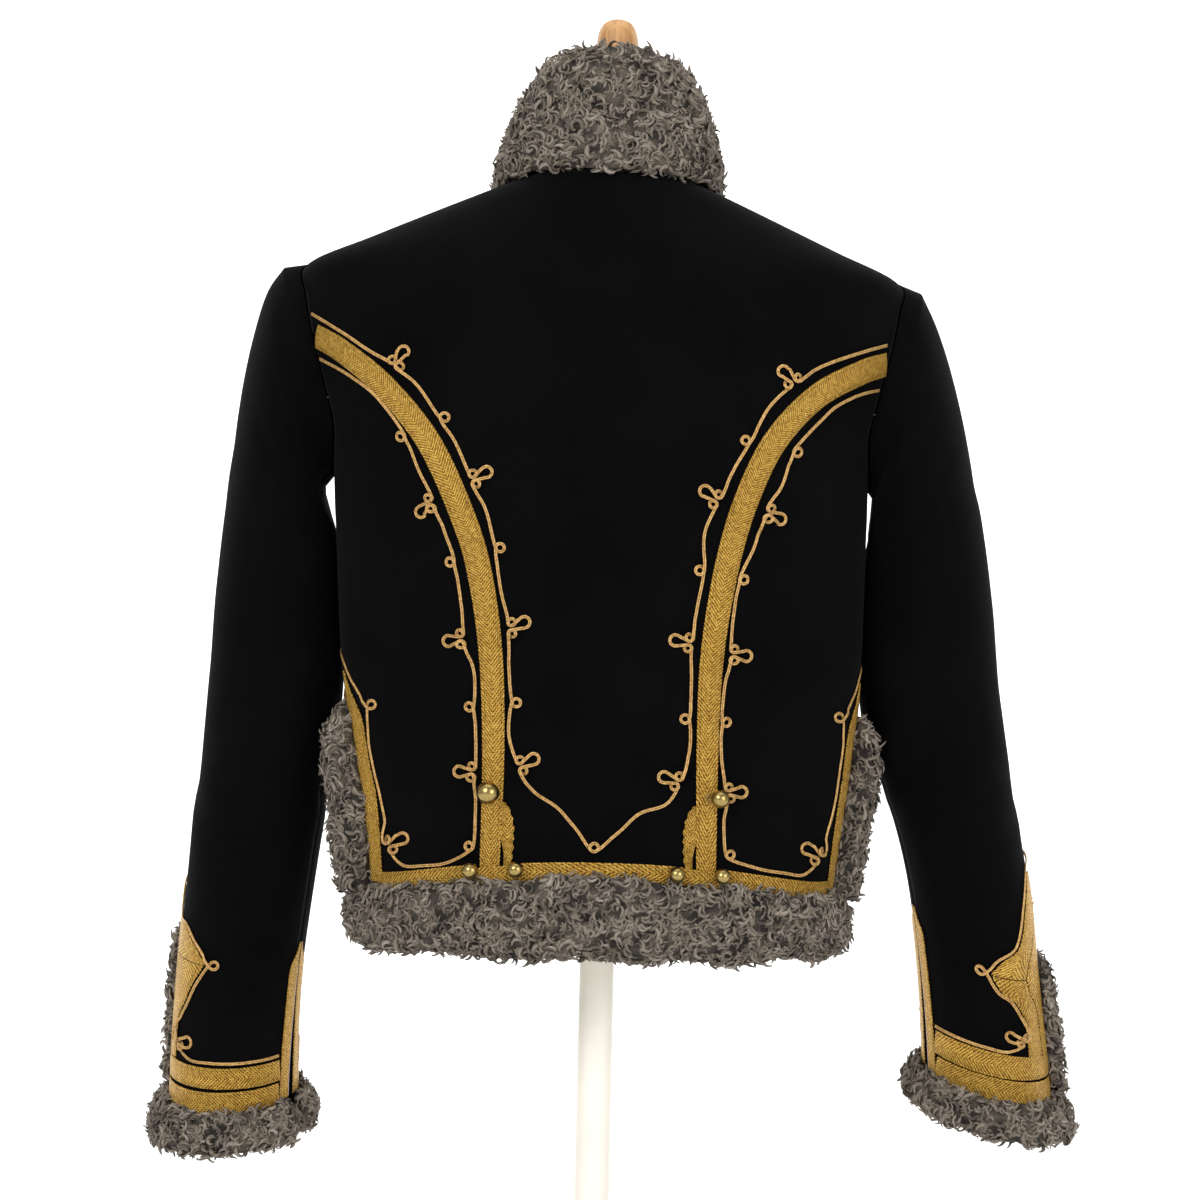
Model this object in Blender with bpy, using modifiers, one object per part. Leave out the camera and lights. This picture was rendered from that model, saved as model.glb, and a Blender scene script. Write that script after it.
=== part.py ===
"""A hussar's pelisse: a short, closed wool coat on a counter-top dress form.

The coat's back faces -Y and its left sleeve, seen from behind, is at -X. The origin is the
centre of the base's underside. Tables are in millimetres, heights in them are measured from
the waist level of the stand, and everything else is in metres.
"""
import math

import bmesh
import bpy
import numpy as np
from mathutils import Vector

MM = 0.001
WAIST_LEVEL = 0.56         # height of the tables' zero above the floor
CLOTH = 0.002              # thickness of the wool cloth
SEAM = 0.0003              # space between two pieces at a seam
LAY = 0.0006               # space between a panel and what is sewn on it
HEM = -250                 # lower edge of the body, under the fur
NECKLINE = 303             # where the collar is set on
SQUARE = 2.3               # 2 would give the body round sections, more gives flatter ones
NECK_BACK_RISE = 11
NECK_FRONT_DROP = 40
UNDERARM = 87
SHOULDER = 243
ARM_MID_Y = 5
ARM_HALF_DEPTH = 52
ARM_MID = (SHOULDER + UNDERARM) / 2
ARM_HALF_HEIGHT = (SHOULDER - UNDERARM) / 2
SIDEWAYS_HANG = -7         # how far the shoulders hang to the left
TILT = 0.0113              # how far the right shoulder hangs lower, for each unit of width
LACE_THICK = 0.001         # thickness of the laces
TAIL_THICK = 0.0011
HEM_FUR_THICK = 0.0185     # how far each fleece stands out
COLLAR_FUR_THICK = 0.013
FRONT_FUR_THICK = 0.013
CUFF_FUR_THICK = 0.0155
FRONT_FUR_EDGE = 26        # from the front edge to the outer edge of its fleece
HEM_FUR_FOOT = -256        # lower edge of the hem's fleece
COLLAR_HEIGHT_BACK = 90
COLLAR_HEIGHT_FRONT = 72
COLLAR_TOP_WIDTH = 49      # half width and depths of the collar's upper edge
COLLAR_TOP_BACK = 52
COLLAR_TOP_FRONT = 54
COLLAR_EDGE = 178.6        # turn of the collar's front edges

# height, half width, depth of the back, depth of the front
BODY = (
    (-262, 166, 107, 117),
    (-210, 174.5, 108, 118),
    (-150, 183, 110, 120),
    (-100, 189, 112, 122),
    (-45, 195, 116, 127),
    (0, 197, 120, 132),
    (60, 199, 124, 136),
    (120, 203, 124, 134),
    (155, 215, 121, 128),
    (190, 225, 115, 118),
    (220, 226, 108, 105),
    (243, 221, 100, 92),
    (262, 178, 93, 82),
    (280, 135, 84, 75),
    (295, 98, 75, 70),
    (303, 78, 68, 68),
    (315, 70, 62, 62),
)

# Panel rows, from the hem to the neckline.
BODY_ROWS = (HEM, -195, -140, -80, -20, 40, UNDERARM, 91, 100, 115, 133, 151, 168, 183,
             197, 211, 223, 234, 240, SHOULDER, 256, 270, 285, NECKLINE)

BACK_COLUMNS = 10
FRONT_COLUMNS = 7

# Middle line of the two back laces, which cover the back seams, from armhole to hem:
# left x, left height, right x, right height, half width of the lace
BACK_LACE = (
    (-216, 189.5, 202, 178, 8.2),
    (-195, 177, 182, 170, 8.4),
    (-163, 151, 150, 151, 8.6),
    (-130, 112, 120, 118, 8.8),
    (-104, 59, 100, 75, 8.8),
    (-90, 15, 87, 27, 8.6),
    (-81, -45, 78, -35, 8.2),
    (-78, -117, 76, -100, 7.6),
    (-79, -196, 77, -196, 6.8),
)

# Tracing cords: kind of knot, x, height, and for a trefoil the lean of its petal in degrees.
INNER_LEFT = (
    ("run", -220, 206, 0), ("run", -194, 190, 0), ("run", -171, 175, 0),
    ("trefoil", -154, 168, 8), ("run", -139, 152, 0), ("eyelet", -118, 129, 0),
    ("run", -110, 111, 0), ("trefoil", -95, 85, 6), ("run", -87, 63, 0),
    ("eyelet", -76, 36, 0), ("run", -75, 6, 0), ("trefoil", -66, -21, 18),
    ("run", -68, -48, 0), ("eyelet", -62, -75, 0), ("run", -67, -98, 0),
    ("trefoil", -57, -120, 6), ("run", -50, -137, 0), ("run", -31, -150, 0),
    ("run", -19, -163, 0),
)
CENTRE_EYELET = ("eyelet", -4, -178, 0)
INNER_RIGHT = (
    ("run", 202, 192, 0), ("run", 181, 184.5, 0), ("run", 155, 174, 0),
    ("trefoil", 131, 161, 4), ("run", 115, 142, 0), ("eyelet", 98, 117, 0),
    ("run", 91, 98, 0), ("trefoil", 77, 74, -14), ("run", 70, 50, 0),
    ("eyelet", 67, 23, 0), ("run", 66, -3, 0), ("trefoil", 60, -29, -6),
    ("run", 63, -58, 0), ("eyelet", 59, -84, 0), ("run", 63, -105, 0),
    ("trefoil", 54, -129, 4), ("run", 48, -145, 0), ("run", 28, -153, 0),
    ("run", 12, -168, 0),
)
OUTER_LEFT = (
    ("run", -213, 173, 0), ("run", -190, 160, 0), ("run", -167, 142, 0),
    ("eyelet", -150, 115, 0), ("run", -136, 90, 0), ("trefoil", -127, 67, -18),
    ("run", -116, 45, 0), ("eyelet", -112, 25, 0), ("run", -103, -8, 0),
    ("trefoil", -103, -30, 0), ("run", -93, -55, 0), ("eyelet", -96, -79, 0),
    ("run", -91, -100, 0), ("trefoil", -93, -126, 0), ("run", -90, -155, 0),
    ("eyelet", -94, -180, 0), ("run", -108, -192, 0), ("run", -128, -196, 0),
    ("run", -144, -196, 0), ("trefoil", -151, -182, -12), ("run", -157.5, -160, 0),
    ("run", -161, -145, 0), ("run", -166, -126, 0), ("run", -170, -104, 0),
    ("eyelet", -168, -80, 0), ("run", -182, -66, 0), ("run", -193, -46, 0),
)
OUTER_RIGHT = (
    ("run", 197, 159, 0), ("run", 188, 156.5, 0), ("run", 176, 151.5, 0), ("run", 160, 141, 0),
    ("eyelet", 136, 110, 0), ("run", 125, 85, 0), ("trefoil", 116, 65, 0),
    ("run", 106, 40, 0), ("eyelet", 99, 17, 0), ("run", 92, -12, 0),
    ("trefoil", 93, -37, 0), ("run", 87, -62, 0), ("eyelet", 89, -86, 0),
    ("run", 86, -110, 0), ("trefoil", 92, -137, 0), ("run", 89, -160, 0),
    ("eyelet", 94, -182, 0), ("run", 111, -191, 0), ("run", 136, -196, 0),
    ("run", 150, -197, 0), ("trefoil", 158, -184, -12), ("run", 167, -163, 0),
    ("run", 171.5, -143, 0), ("run", 174, -121, 0), ("run", 176, -99, 0),
    ("eyelet", 172, -82, 0), ("run", 183, -68, 0), ("run", 190, -48, 0),
)
CORD_WIDTH = 0.0026
CORD_HEIGHT = 0.0012
CORD_RISE = 0.0015         # lift where a cord passes over itself
CORD_SLOPE = 0.5
EYELET_RADIUS = 3.0
LOOP_RADIUS = 2.1
LOOP_APART = 3.7
PETAL_REACH = 8.2          # from the small loops to the middle of the petal's round end
PETAL_RADIUS = 3.4
PETAL_SWEEP = 250          # degrees of the petal's round end

HIP_KNOTS = -8             # the outer tracing's knots along the hip

# Inner edge of the hip laces: height, left x, right x
HIP_LACE = (
    (-212, 159, 168),
    (-176, 161.5, 171.5),
    (-145, 165, 175),
    (-126, 169.5, 177.5),
    (-104, 173.5, 179.5),
    (-90, 176.5, 181.5),
    (-70, 186, 187),
    (-52, 193, 190.5),
)
HIP_LACE_TURN = 6.6        # width of the hip lace in degrees of turn
HIP_FUR_WIDTH = ((-212, 36), (-150, 33), (-100, 22), (-83, 12), (-48, 12))

# Ball buttons on the back: name, x, height, radius
BALLS = (
    ("ball_top_left", -79, -140, 8.2),
    ("ball_top_right", 84, -141, 6.6),
    ("ball_hem_left_outer", -91, -197, 5.8),
    ("ball_hem_left_inner", -59, -195, 5.8),
    ("ball_hem_right_inner", 55, -196, 5.8),
    ("ball_hem_right_outer", 87, -197, 5.8),
)

# Sleeve sections from head to end. Each is seen from behind, as the place of its outer and its
# inner edge (distance from the middle, height), for the left and then for the right sleeve;
# then its y, its half depth and how far it leans forward in degrees.
SLEEVES = (
    ((246, 244), (212, 80), (232, 235), (199, 80), 3, 60, 0),
    ((258, 226), (211, 68), (244, 210), (198, 67), 4, 63, 0),
    ((267, 198), (208, 60), (255, 180), (197, 55), 8, 65, 0),
    ((275, 162), (204.3, 48), (266, 141), (195.6, 38), 13, 66, 0),
    ((282, 115), (200.8, 25), (276, 96), (193.6, 14), 18, 65, 0),
    ((288, 65), (198.9, -5), (285, 55), (193.1, -12), 22, 63, 0),
    ((294, 8), (196.6, -45), (293, 5), (192.6, -48), 26, 61, 4),
    ((298, -52), (198, -86), (300, -58), (197, -88), 31, 59, 8),
    ((303, -115), (205, -137), (310, -118), (209, -125), 37, 57, 11),
    ((310, -175), (212, -188), (320, -170), (222, -158), 43, 55, 12),
    ((315, -235), (219, -238), (329, -215), (233, -196), 49, 53, 12),
    ((319, -282), (224.5, -282), (335, -262), (241, -236), 55, 51, 12),
    ((322, -327), (227.5, -324), (341, -305), (247, -278), 61, 50, 12),
    ((324, -367), (229, -362), (346.5, -343), (251.5, -322), 67, 50, 12),
    ((325, -414), (229.5, -406), (352.5, -396), (255.5, -376), 74, 50, 12),
)
SLEEVE_ROWS = (0, 0.4, 1, 1.7, 2.4, 3.2, 4.2, 5.2, 6.2, 7.2, 8.4, 9.6, 11, 12.3, 13.6, 15)
SLEEVE_COLUMNS = 20
SLEEVE_SEAT = 1.5          # how far the sleeve head is wider than the armhole
HEAD_CLEAR = 0.0018        # between the body and the sleeve head set on it
SLIT_HEIGHT = 118          # of the open hind seam above the cuff's fur
SLIT_GAP = 3.0             # half of the slit's opening at the sleeve's end
CUFF_FUR_HEIGHT = 27       # of cloth under the fur, at the sleeve's end
CUFF_LAY = 0.001           # space between a sleeve and what is sewn on it
FORE_SEAM = -100           # degrees round the sleeve from its outer side, back is positive
# Sleeve side, hind seam, back edge of the outer fur strip, heights of the ogee's peak and tip
CUFFS = (
    ("left", -1, 157, -12, 112, 158, 128),
    ("right", 1, 163, 10, 98, 176, 112),
)
STRIP_WIDTH = 34           # of the sleeve's outer fur strip, in degrees round the sleeve
CUFF_ROWS_HEIGHT = 35      # two rows of lace
CUFF_PEAK_TURN = 72        # degrees from the strip to the ogee's peak
CUFF_FRONT_SHARE = 0.8     # the front half of the peaked lace is narrower
CUFF_TRACE_RADIUS = 48     # of the sleeve, where the cuff's cord is laid out flat
SLIT_LACE_TURN = 11.5      # width of the slit's lace in degrees

FORM_CLEAR = 9
FORM_TOUCH = 0.55          # at the shoulders, where the coat rests
NECK_RADIUS = 50
NECK_TOP = 364
TORSO_END = -236
POLE_RADIUS = 13
BASE_RADIUS = 160
BASE_THICKNESS = 22


def new_collection(name):
    """A collection of the scene, by name."""
    collection = bpy.data.collections.new(name)
    bpy.context.scene.collection.children.link(collection)
    return collection


def material(name, red, green, blue, roughness, metallic=0.0):
    """A finish with its colour, roughness and metallic value."""
    made = bpy.data.materials.new(name)
    made.use_nodes = True
    shader = made.node_tree.nodes["Principled BSDF"]
    shader.inputs["Base Color"].default_value = (red, green, blue, 1)
    shader.inputs["Roughness"].default_value = roughness
    shader.inputs["Metallic"].default_value = metallic
    made.diffuse_color = (red, green, blue, 1)
    return made


def place_object(name, mesh, finish, smooth=True):
    """An object made from a mesh, in the parts collection."""
    built = bpy.data.objects.new(name, mesh)
    mesh.materials.append(finish)
    if smooth:
        mesh.shade_smooth()
    PARTS.objects.link(built)
    return built


def signed_power(value, power):
    """A power that keeps the sign."""
    return math.copysign(abs(value) ** power, value)


def ease(value):
    """0 below 0, 1 above 1 and a smooth change between."""
    held = min(1, max(0, value))
    return held * held * (3 - 2 * held)


def blend(rows, at):
    """The other columns of a table at a place in its first column, on smooth curves."""
    at = min(rows[-1][0], max(rows[0][0], at))
    last = len(rows) - 2
    k = next((i for i in range(last) if at <= rows[i + 1][0]), last)
    before, low, high, after = rows[max(k - 1, 0)], rows[k], rows[k + 1], rows[min(k + 2, last + 1)]
    span = high[0] - low[0]
    t = (at - low[0]) / span
    made = []
    for c in range(1, len(low)):
        slope_low = (high[c] - before[c]) / (high[0] - before[0]) * span
        slope_high = (after[c] - low[c]) / (after[0] - low[0]) * span
        made.append((2 * t ** 3 - 3 * t ** 2 + 1) * low[c] + (t ** 3 - 2 * t ** 2 + t) * slope_low
                    + (3 * t ** 2 - 2 * t ** 3) * high[c] + (t ** 3 - t ** 2) * slope_high)
    return made


def hang_share(height):
    """How much of the shoulders' sideways hang a height takes part in."""
    return ease((height + 200) / 440) * (1 - ease((height - 250) / 150))


def hang(x, y, height):
    """World place of a garment place given in millimetres from the waist level."""
    share = hang_share(height)
    return Vector(((x + SIDEWAYS_HANG * share) * MM, y * MM,
                   WAIST_LEVEL + (height - TILT * share * x) * MM))


def body_plain(turn, height):
    """Outer face of the body. Turn is in degrees: 0 centre back, 90 right side."""
    width, back, front = blend(BODY, height)
    angle = math.radians(turn)
    power = 2 / SQUARE
    depth = back if math.cos(angle) > 0 else front
    neck = (NECK_BACK_RISE * max(0, math.cos(angle)) - NECK_FRONT_DROP * max(0, -math.cos(angle)) ** 1.5)
    return hang(width * signed_power(math.sin(angle), power),
                -depth * signed_power(math.cos(angle), power),
                height + neck * ease((height - 200) / (NECKLINE - 200)))


def body(turn, height, lift=0.0):
    """Body surface, lifted along its normal."""
    place = body_plain(turn, height)
    if lift:
        across = body_plain(turn + 0.05, height) - body_plain(turn - 0.05, height)
        up = body_plain(turn, height + 0.05) - body_plain(turn, height - 0.05)
        place = place + across.cross(up).normalized() * lift
    return place


def normal_of(surface, u, v):
    """Unit direction in which a surface lifts."""
    return (surface(u, v, MM) - surface(u, v)).normalized()


def turn_at_x(x, height):
    """Turn on the back where the body is at x."""
    width = blend(BODY, height)[0]
    share = min(0.9999, abs(x) / width)
    return math.copysign(math.degrees(math.asin(share ** (SQUARE / 2))), x)


def turn_at_y(y, height):
    """Turn on the right half where the body is at y."""
    depth = blend(BODY, height)[1 if y < 0 else 2]
    share = min(1, abs(y) / depth) ** (SQUARE / 2)
    return math.degrees(math.acos(math.copysign(share, -y)))


def on_back(x, height):
    """Surface place, as turn and height, of a place measured straight on from behind."""
    share = hang_share(height)
    level = height + TILT * share * x
    return turn_at_x(x - SIDEWAYS_HANG * share, level), level


def side_y(height, front):
    """Y of the side seam, and above the underarm of the armhole's edge."""
    if height <= UNDERARM or height >= SHOULDER:
        return ARM_MID_Y
    rise = (height - ARM_MID) / ARM_HALF_HEIGHT
    half = ARM_HALF_DEPTH * math.sqrt(max(0, 1 - rise * rise))
    return ARM_MID_Y + (half if front else -half)


def lace_rows(side):
    """Back lace on one side, as tables of its row number."""
    first = 0 if side < 0 else 2
    return tuple((i, row[first], row[first + 1], row[4]) for i, row in enumerate(BACK_LACE))


def seam_turn(side, height):
    """Turn of the back seam at a height, or None above the armhole's edge."""
    rows = lace_rows(side)
    steps = 160
    last = None
    for i in range(steps + 1):
        x, level, _ = blend(rows, (len(rows) - 1) * i / steps)
        turn, level = on_back(x, level)
        if level <= height:
            return last if last is not None else None
        last = turn
    return last


def wall(name, low, high, finish, closed=False):
    """A closed solid between two grids of points, rows by columns."""
    shape = bmesh.new()
    rows, columns = len(low), len(low[0])
    under = [[shape.verts.new(p) for p in row] for row in low]
    over = [[shape.verts.new(p) for p in row] for row in high]
    around = columns if closed else columns - 1
    for i in range(rows - 1):
        for j in range(around):
            k = (j + 1) % columns
            shape.faces.new((over[i][j], over[i][k], over[i + 1][k], over[i + 1][j]))
            shape.faces.new((under[i][j], under[i + 1][j], under[i + 1][k], under[i][k]))
        if not closed:
            shape.faces.new((under[i][0], over[i][0], over[i + 1][0], under[i + 1][0]))
            shape.faces.new((over[i][-1], under[i][-1], under[i + 1][-1], over[i + 1][-1]))
    for j in range(around):
        k = (j + 1) % columns
        shape.faces.new((over[0][k], over[0][j], under[0][j], under[0][k]))
        shape.faces.new((over[-1][j], over[-1][k], under[-1][k], under[-1][j]))
    return finish_mesh(name, shape, finish)


def finish_mesh(name, shape, finish):
    """Turn a closed bmesh outwards and make it an object."""
    bmesh.ops.recalc_face_normals(shape, faces=shape.faces)
    if shape.calc_volume(signed=True) < 0:
        bmesh.ops.reverse_faces(shape, faces=shape.faces)
    mesh = bpy.data.meshes.new(name)
    shape.to_mesh(mesh)
    shape.free()
    made = place_object(name, mesh, finish, smooth=False)
    mesh.polygons.foreach_set("use_smooth", [True] * len(mesh.polygons))
    mesh.set_sharp_from_angle(angle=math.radians(40))
    return made


def roll(name, sections, finish, capped=True):
    """A closed solid through ring sections, each a list of points."""
    shape = bmesh.new()
    rings = [[shape.verts.new(p) for p in section] for section in sections]
    count = len(rings[0])
    for a, b in zip(rings, rings[1:]):
        for j in range(count):
            k = (j + 1) % count
            shape.faces.new((a[j], a[k], b[k], b[j]))
    if capped:
        shape.faces.new(list(reversed(rings[0])))
        shape.faces.new(rings[-1])
    return finish_mesh(name, shape, finish)


def panel(name, edges, columns, rows, finish):
    """One cloth panel of the body between two edges, each a turn for a height."""
    low, high = [], []
    for height in rows:
        first, last = edges(height)
        turns = [first + (last - first) * j / columns for j in range(columns + 1)]
        high.append([body(turn, height) for turn in turns])
        low.append([body(turn, height, -CLOTH) for turn in turns])
    return wall(name, low, high, finish)


def seam_step(height):
    """Half a seam's space as degrees of turn."""
    width = blend(BODY, height)[0]
    return math.degrees(SEAM / 2 / (width * MM * 0.6))


def back_edges(height):
    """Left and right edge of the back panel."""
    edges = []
    for side in (-1, 1):
        turn = seam_turn(side, height)
        armhole = turn_at_y(side_y(height, False), height)
        if turn is None or abs(turn) > armhole:
            turn = side * armhole
        edges.append(turn - side * seam_step(height))
    return edges


def side_edges(side):
    """Edges of a side body, from the back seam to the side seam and armhole."""
    def edges(height):
        seam = seam_turn(side, height)
        armhole = side * turn_at_y(side_y(height, False), height)
        step = side * seam_step(height)
        return sorted((seam + step, armhole - step), key=abs)
    return edges


def side_top(side):
    """Height where the back seam runs out at the armhole, less a small point of cloth."""
    height = SHOULDER - 30
    while abs(seam_turn(side, height) or 999) > turn_at_y(side_y(height, False), height) - 1.2:
        height -= 0.5
    return height


def front_edges(side):
    """Edges of a front, from side seam, armhole and shoulder to the centre front."""
    def edges(height):
        step = seam_step(height)
        first = turn_at_y(side_y(height, True), height) + step
        centre = 180 - turn_at_x(0.4, height)
        return side * first, side * centre
    return edges


def make_body(cloth):
    """The five panels of the body."""
    tops = {side: side_top(side) for side in (-1, 1)}
    kept = [row for row in BODY_ROWS if all(abs(row - top) > 6 for top in tops.values())]
    back_rows = sorted(kept + list(tops.values()))
    panel("back_panel", back_edges, BACK_COLUMNS, back_rows, cloth)
    for name, side in (("left", -1), ("right", 1)):
        side_rows = [row for row in back_rows if row <= tops[side]]
        panel(f"side_body_{name}", side_edges(side), 3, side_rows, cloth)
        panel(f"front_{name}", front_edges(side), FRONT_COLUMNS, BODY_ROWS, cloth)


def sleeve_side(side):
    """Sleeve sections of one side as a table of their row number."""
    first = 0 if side < 0 else 2
    rows = []
    for i, row in enumerate(SLEEVES):
        outer, inner = row[first], row[first + 1]
        rows.append((i + 1, side * outer[0], outer[1], side * inner[0], inner[1], row[4], row[5], row[6]))
    return tuple(rows)


SLEEVE_TABLES = {side: sleeve_side(side) for side in (-1, 1)}


def sleeve_section(side, turn, along, lift):
    """Place on a sleeve's oval section. Turn 0 is its outer edge and 90 its back."""
    ox, oz, ix, iz, y, half_depth, lean = blend(SLEEVE_TABLES[side], along)
    outer, inner = Vector((ox, y, oz)), Vector((ix, y, iz))
    middle = (outer + inner) / 2
    half = (outer - inner) / 2
    grow = lift / MM
    half = half.normalized() * (half.length + grow)
    lean = math.radians(lean)
    back = Vector((0, -math.cos(lean), -math.sin(lean))) * (half_depth + grow)
    angle = math.radians(turn)
    place = middle + half * math.cos(angle) + back * math.sin(angle)
    return Vector((place.x * MM, place.y * MM, WAIST_LEVEL + place.z * MM))


def sleeve_head(side, turn, lift):
    """Place where the sleeve is set on the body, round the armhole."""
    angle = math.radians(turn)
    grow = SLEEVE_SEAT + lift / MM
    y = ARM_MID_Y - (ARM_HALF_DEPTH + grow) * math.sin(angle)
    height = ARM_MID + (ARM_HALF_HEIGHT + grow) * math.cos(angle)
    place = body(side * turn_at_y(y, height), height)
    return place + Vector((side * HEAD_CLEAR, 0, 0))


def sleeve(side, turn, along, lift=0.0):
    """Sleeve surface: along is 0 at the armhole and the number of sections at its end."""
    if along >= 1:
        return sleeve_section(side, turn, along, lift)
    share = ease(along) * 0.5 + along * 0.5
    return sleeve_head(side, turn, lift).lerp(sleeve_section(side, turn, 1, lift), share)


def sleeve_lengths(side):
    """Distance in millimetres from each section's middle to the sleeve's end."""
    lengths = [0.0]
    for i in range(len(SLEEVES), 1, -1):
        step = sleeve_middle(side, i) - sleeve_middle(side, i - 1)
        lengths.append(lengths[-1] + step.length / MM)
    return lengths


def sleeve_middle(side, along):
    """Middle of the sleeve at a place along it."""
    return (sleeve_section(side, 0, along, 0) + sleeve_section(side, 180, along, 0)) / 2


SLEEVE_LENGTHS = {side: sleeve_lengths(side) for side in (-1, 1)}


def along_at(side, height):
    """Place along the sleeve, a height in millimetres above the top of the cuff's fur."""
    wanted = height + CUFF_FUR_HEIGHT
    lengths = SLEEVE_LENGTHS[side]
    for i in range(len(lengths) - 1):
        if wanted <= lengths[i + 1] or i == len(lengths) - 2:
            share = (wanted - lengths[i]) / (lengths[i + 1] - lengths[i])
            return len(SLEEVES) - i - share
    return 1


def slit_open(height):
    """Half of the slit's opening in degrees at a height above the cuff's fur."""
    return 0.2 + math.degrees(SLIT_GAP / 48) * ease(1 - height / SLIT_HEIGHT)


def make_sleeves(cloth):
    """Upper and under piece of each sleeve."""
    for name, side, hind, *_ in CUFFS:
        for piece, first, last in (("upper", FORE_SEAM, hind), ("under", hind, FORE_SEAM + 360)):
            columns = round(SLEEVE_COLUMNS * (last - first) / 360)
            low, high = [], []
            for along in SLEEVE_ROWS:
                height = SLEEVE_LENGTHS[side][min(14, len(SLEEVES) - round(max(along, 1)))] - CUFF_FUR_HEIGHT
                slit = slit_open(height)
                start = first + (0.2 if piece == "upper" else slit)
                end = last - (slit if piece == "upper" else 0.2)
                turns = [start + (end - start) * j / columns for j in range(columns + 1)]
                high.append([sleeve(side, turn, along) for turn in turns])
                low.append([sleeve(side, turn, along, -CLOTH) for turn in turns])
            wall(f"sleeve_{name}_{piece}", low, high, cloth)


def slide(surface, u, v, step):
    """Place on a surface after a small move, given as a vector."""
    across = (surface(u + 0.05, v) - surface(u - 0.05, v)) / 0.1
    up = (surface(u, v + 0.05) - surface(u, v - 0.05)) / 0.1
    aa, ab, bb = across.dot(across), across.dot(up), up.dot(up)
    sa, sb = step.dot(across), step.dot(up)
    scale = aa * bb - ab * ab
    return u + (sa * bb - sb * ab) / scale, v + (sb * aa - sa * ab) / scale


def braid(name, surface, places, halves, finish, columns=1, thickness=LACE_THICK):
    """A flat lace along places on a surface, with a half width for each place."""
    points = [surface(u, v) for u, v in places]
    low, high = [], []
    for i, (u, v) in enumerate(places):
        ahead = points[min(i + 1, len(points) - 1)] - points[max(i - 1, 0)]
        across = normal_of(surface, u, v).cross(ahead).normalized()
        row_low, row_high = [], []
        for j in range(columns + 1):
            step = across * halves[i] * MM * (2 * j / columns - 1)
            su, sv = slide(surface, u, v, step)
            row_low.append(surface(su, sv) + normal_of(surface, su, sv) * LAY)
            row_high.append(surface(su, sv) + normal_of(surface, su, sv) * (LAY + thickness))
        low.append(row_low)
        high.append(row_high)
    return wall(name, low, high, finish)


def make_back_laces(lace):
    """Laces over the two curved back seams, with their tails."""
    for name, side in (("left", -1), ("right", 1)):
        rows = lace_rows(side)
        count = 18
        places, halves = [], []
        for i in range(count + 1):
            x, height, half = blend(rows, (len(rows) - 1) * i / count)
            places.append(on_back(x, height))
            halves.append(half)
        braid(f"lace_back_{name}", body, places, halves, lace, columns=2)
        make_tail(name, side, rows, lace)


def make_tail(name, side, rows, lace):
    """The short second lace below the ball, on the side of the centre back."""
    low, high = [], []
    steps = ((-147, 0.4, 2.5), (-155, 0.4, 7), (-165, 0.4, 9.3), (-174, 0.6, 9.6), (-181, 2.6, 9.6),
             (-189, 3.4, 9), (-196, 2.6, 8.2))
    for height, inner_step, outer_step in steps:
        middle, _, half = blend(rows, 7 + (-117 - height) / 79)
        edge = abs(middle) - half
        turns = [on_back(side * (edge - step), height) for step in (inner_step, outer_step)]
        low.append([body(*turn, LAY) for turn in turns])
        high.append([body(*turn, LAY + TAIL_THICK) for turn in turns])
    wall(f"lace_tail_{name}", low, high, lace)


def left_of(direction):
    """The flat direction a quarter turn to the left."""
    return np.array((-direction[1], direction[0]))


def heading(a, b):
    """Flat direction from one point to another."""
    step = b - a
    return step / max(1e-9, math.hypot(*step))


def arc(centre, radius, start, sweep, count):
    """Points round a circle from a start angle, without the first."""
    angles = [start + sweep * i / count for i in range(1, count + 1)]
    return [centre + radius * np.array((math.cos(angle), math.sin(angle))) for angle in angles]


def eyelet(centre, come, go, hand, fine):
    """A full turn beside the line: where it starts, its points and where it ends."""
    start = centre - hand * EYELET_RADIUS * left_of(come)
    start_angle = math.atan2(*(start - centre)[::-1])
    bend = math.atan2(come[0] * go[1] - come[1] * go[0], come.dot(go))
    sweep = hand * (2 * math.pi) + bend
    count = round(6 * fine * abs(sweep) / (2 * math.pi))
    return start, arc(centre, EYELET_RADIUS, start_angle, sweep, count)


def trefoil(middle, ahead, hand, lean, fine):
    """Small loop, long petal and small loop, all on one side of the line."""
    side = hand * left_of(ahead)
    foot = middle - side * LOOP_RADIUS
    first = foot - ahead * LOOP_APART + side * LOOP_RADIUS
    second = foot + ahead * LOOP_APART + side * LOOP_RADIUS
    start = foot - ahead * LOOP_APART
    start_angle = math.atan2(*(start - first)[::-1])
    points = arc(first, LOOP_RADIUS, start_angle, hand * 2.5 * math.pi, round(6 * fine))
    tilt = hand * math.radians(lean)
    axis = side * math.cos(tilt) - ahead * math.sin(math.radians(lean))
    base = foot + side * LOOP_RADIUS
    sweep = math.radians(PETAL_SWEEP)
    round_start = math.atan2(axis[1], axis[0]) + hand * sweep / 2
    middle = base + axis * PETAL_REACH
    points.append(middle + PETAL_RADIUS * np.array((math.cos(round_start), math.sin(round_start))))
    points.extend(arc(middle, PETAL_RADIUS, round_start, -hand * sweep, round(6 * fine)))
    entry = second - ahead * LOOP_RADIUS
    points.append(entry)
    entry_angle = math.atan2(*(entry - second)[::-1])
    points.extend(arc(second, LOOP_RADIUS, entry_angle, hand * 2.5 * math.pi, round(6 * fine)))
    return start, points


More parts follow.
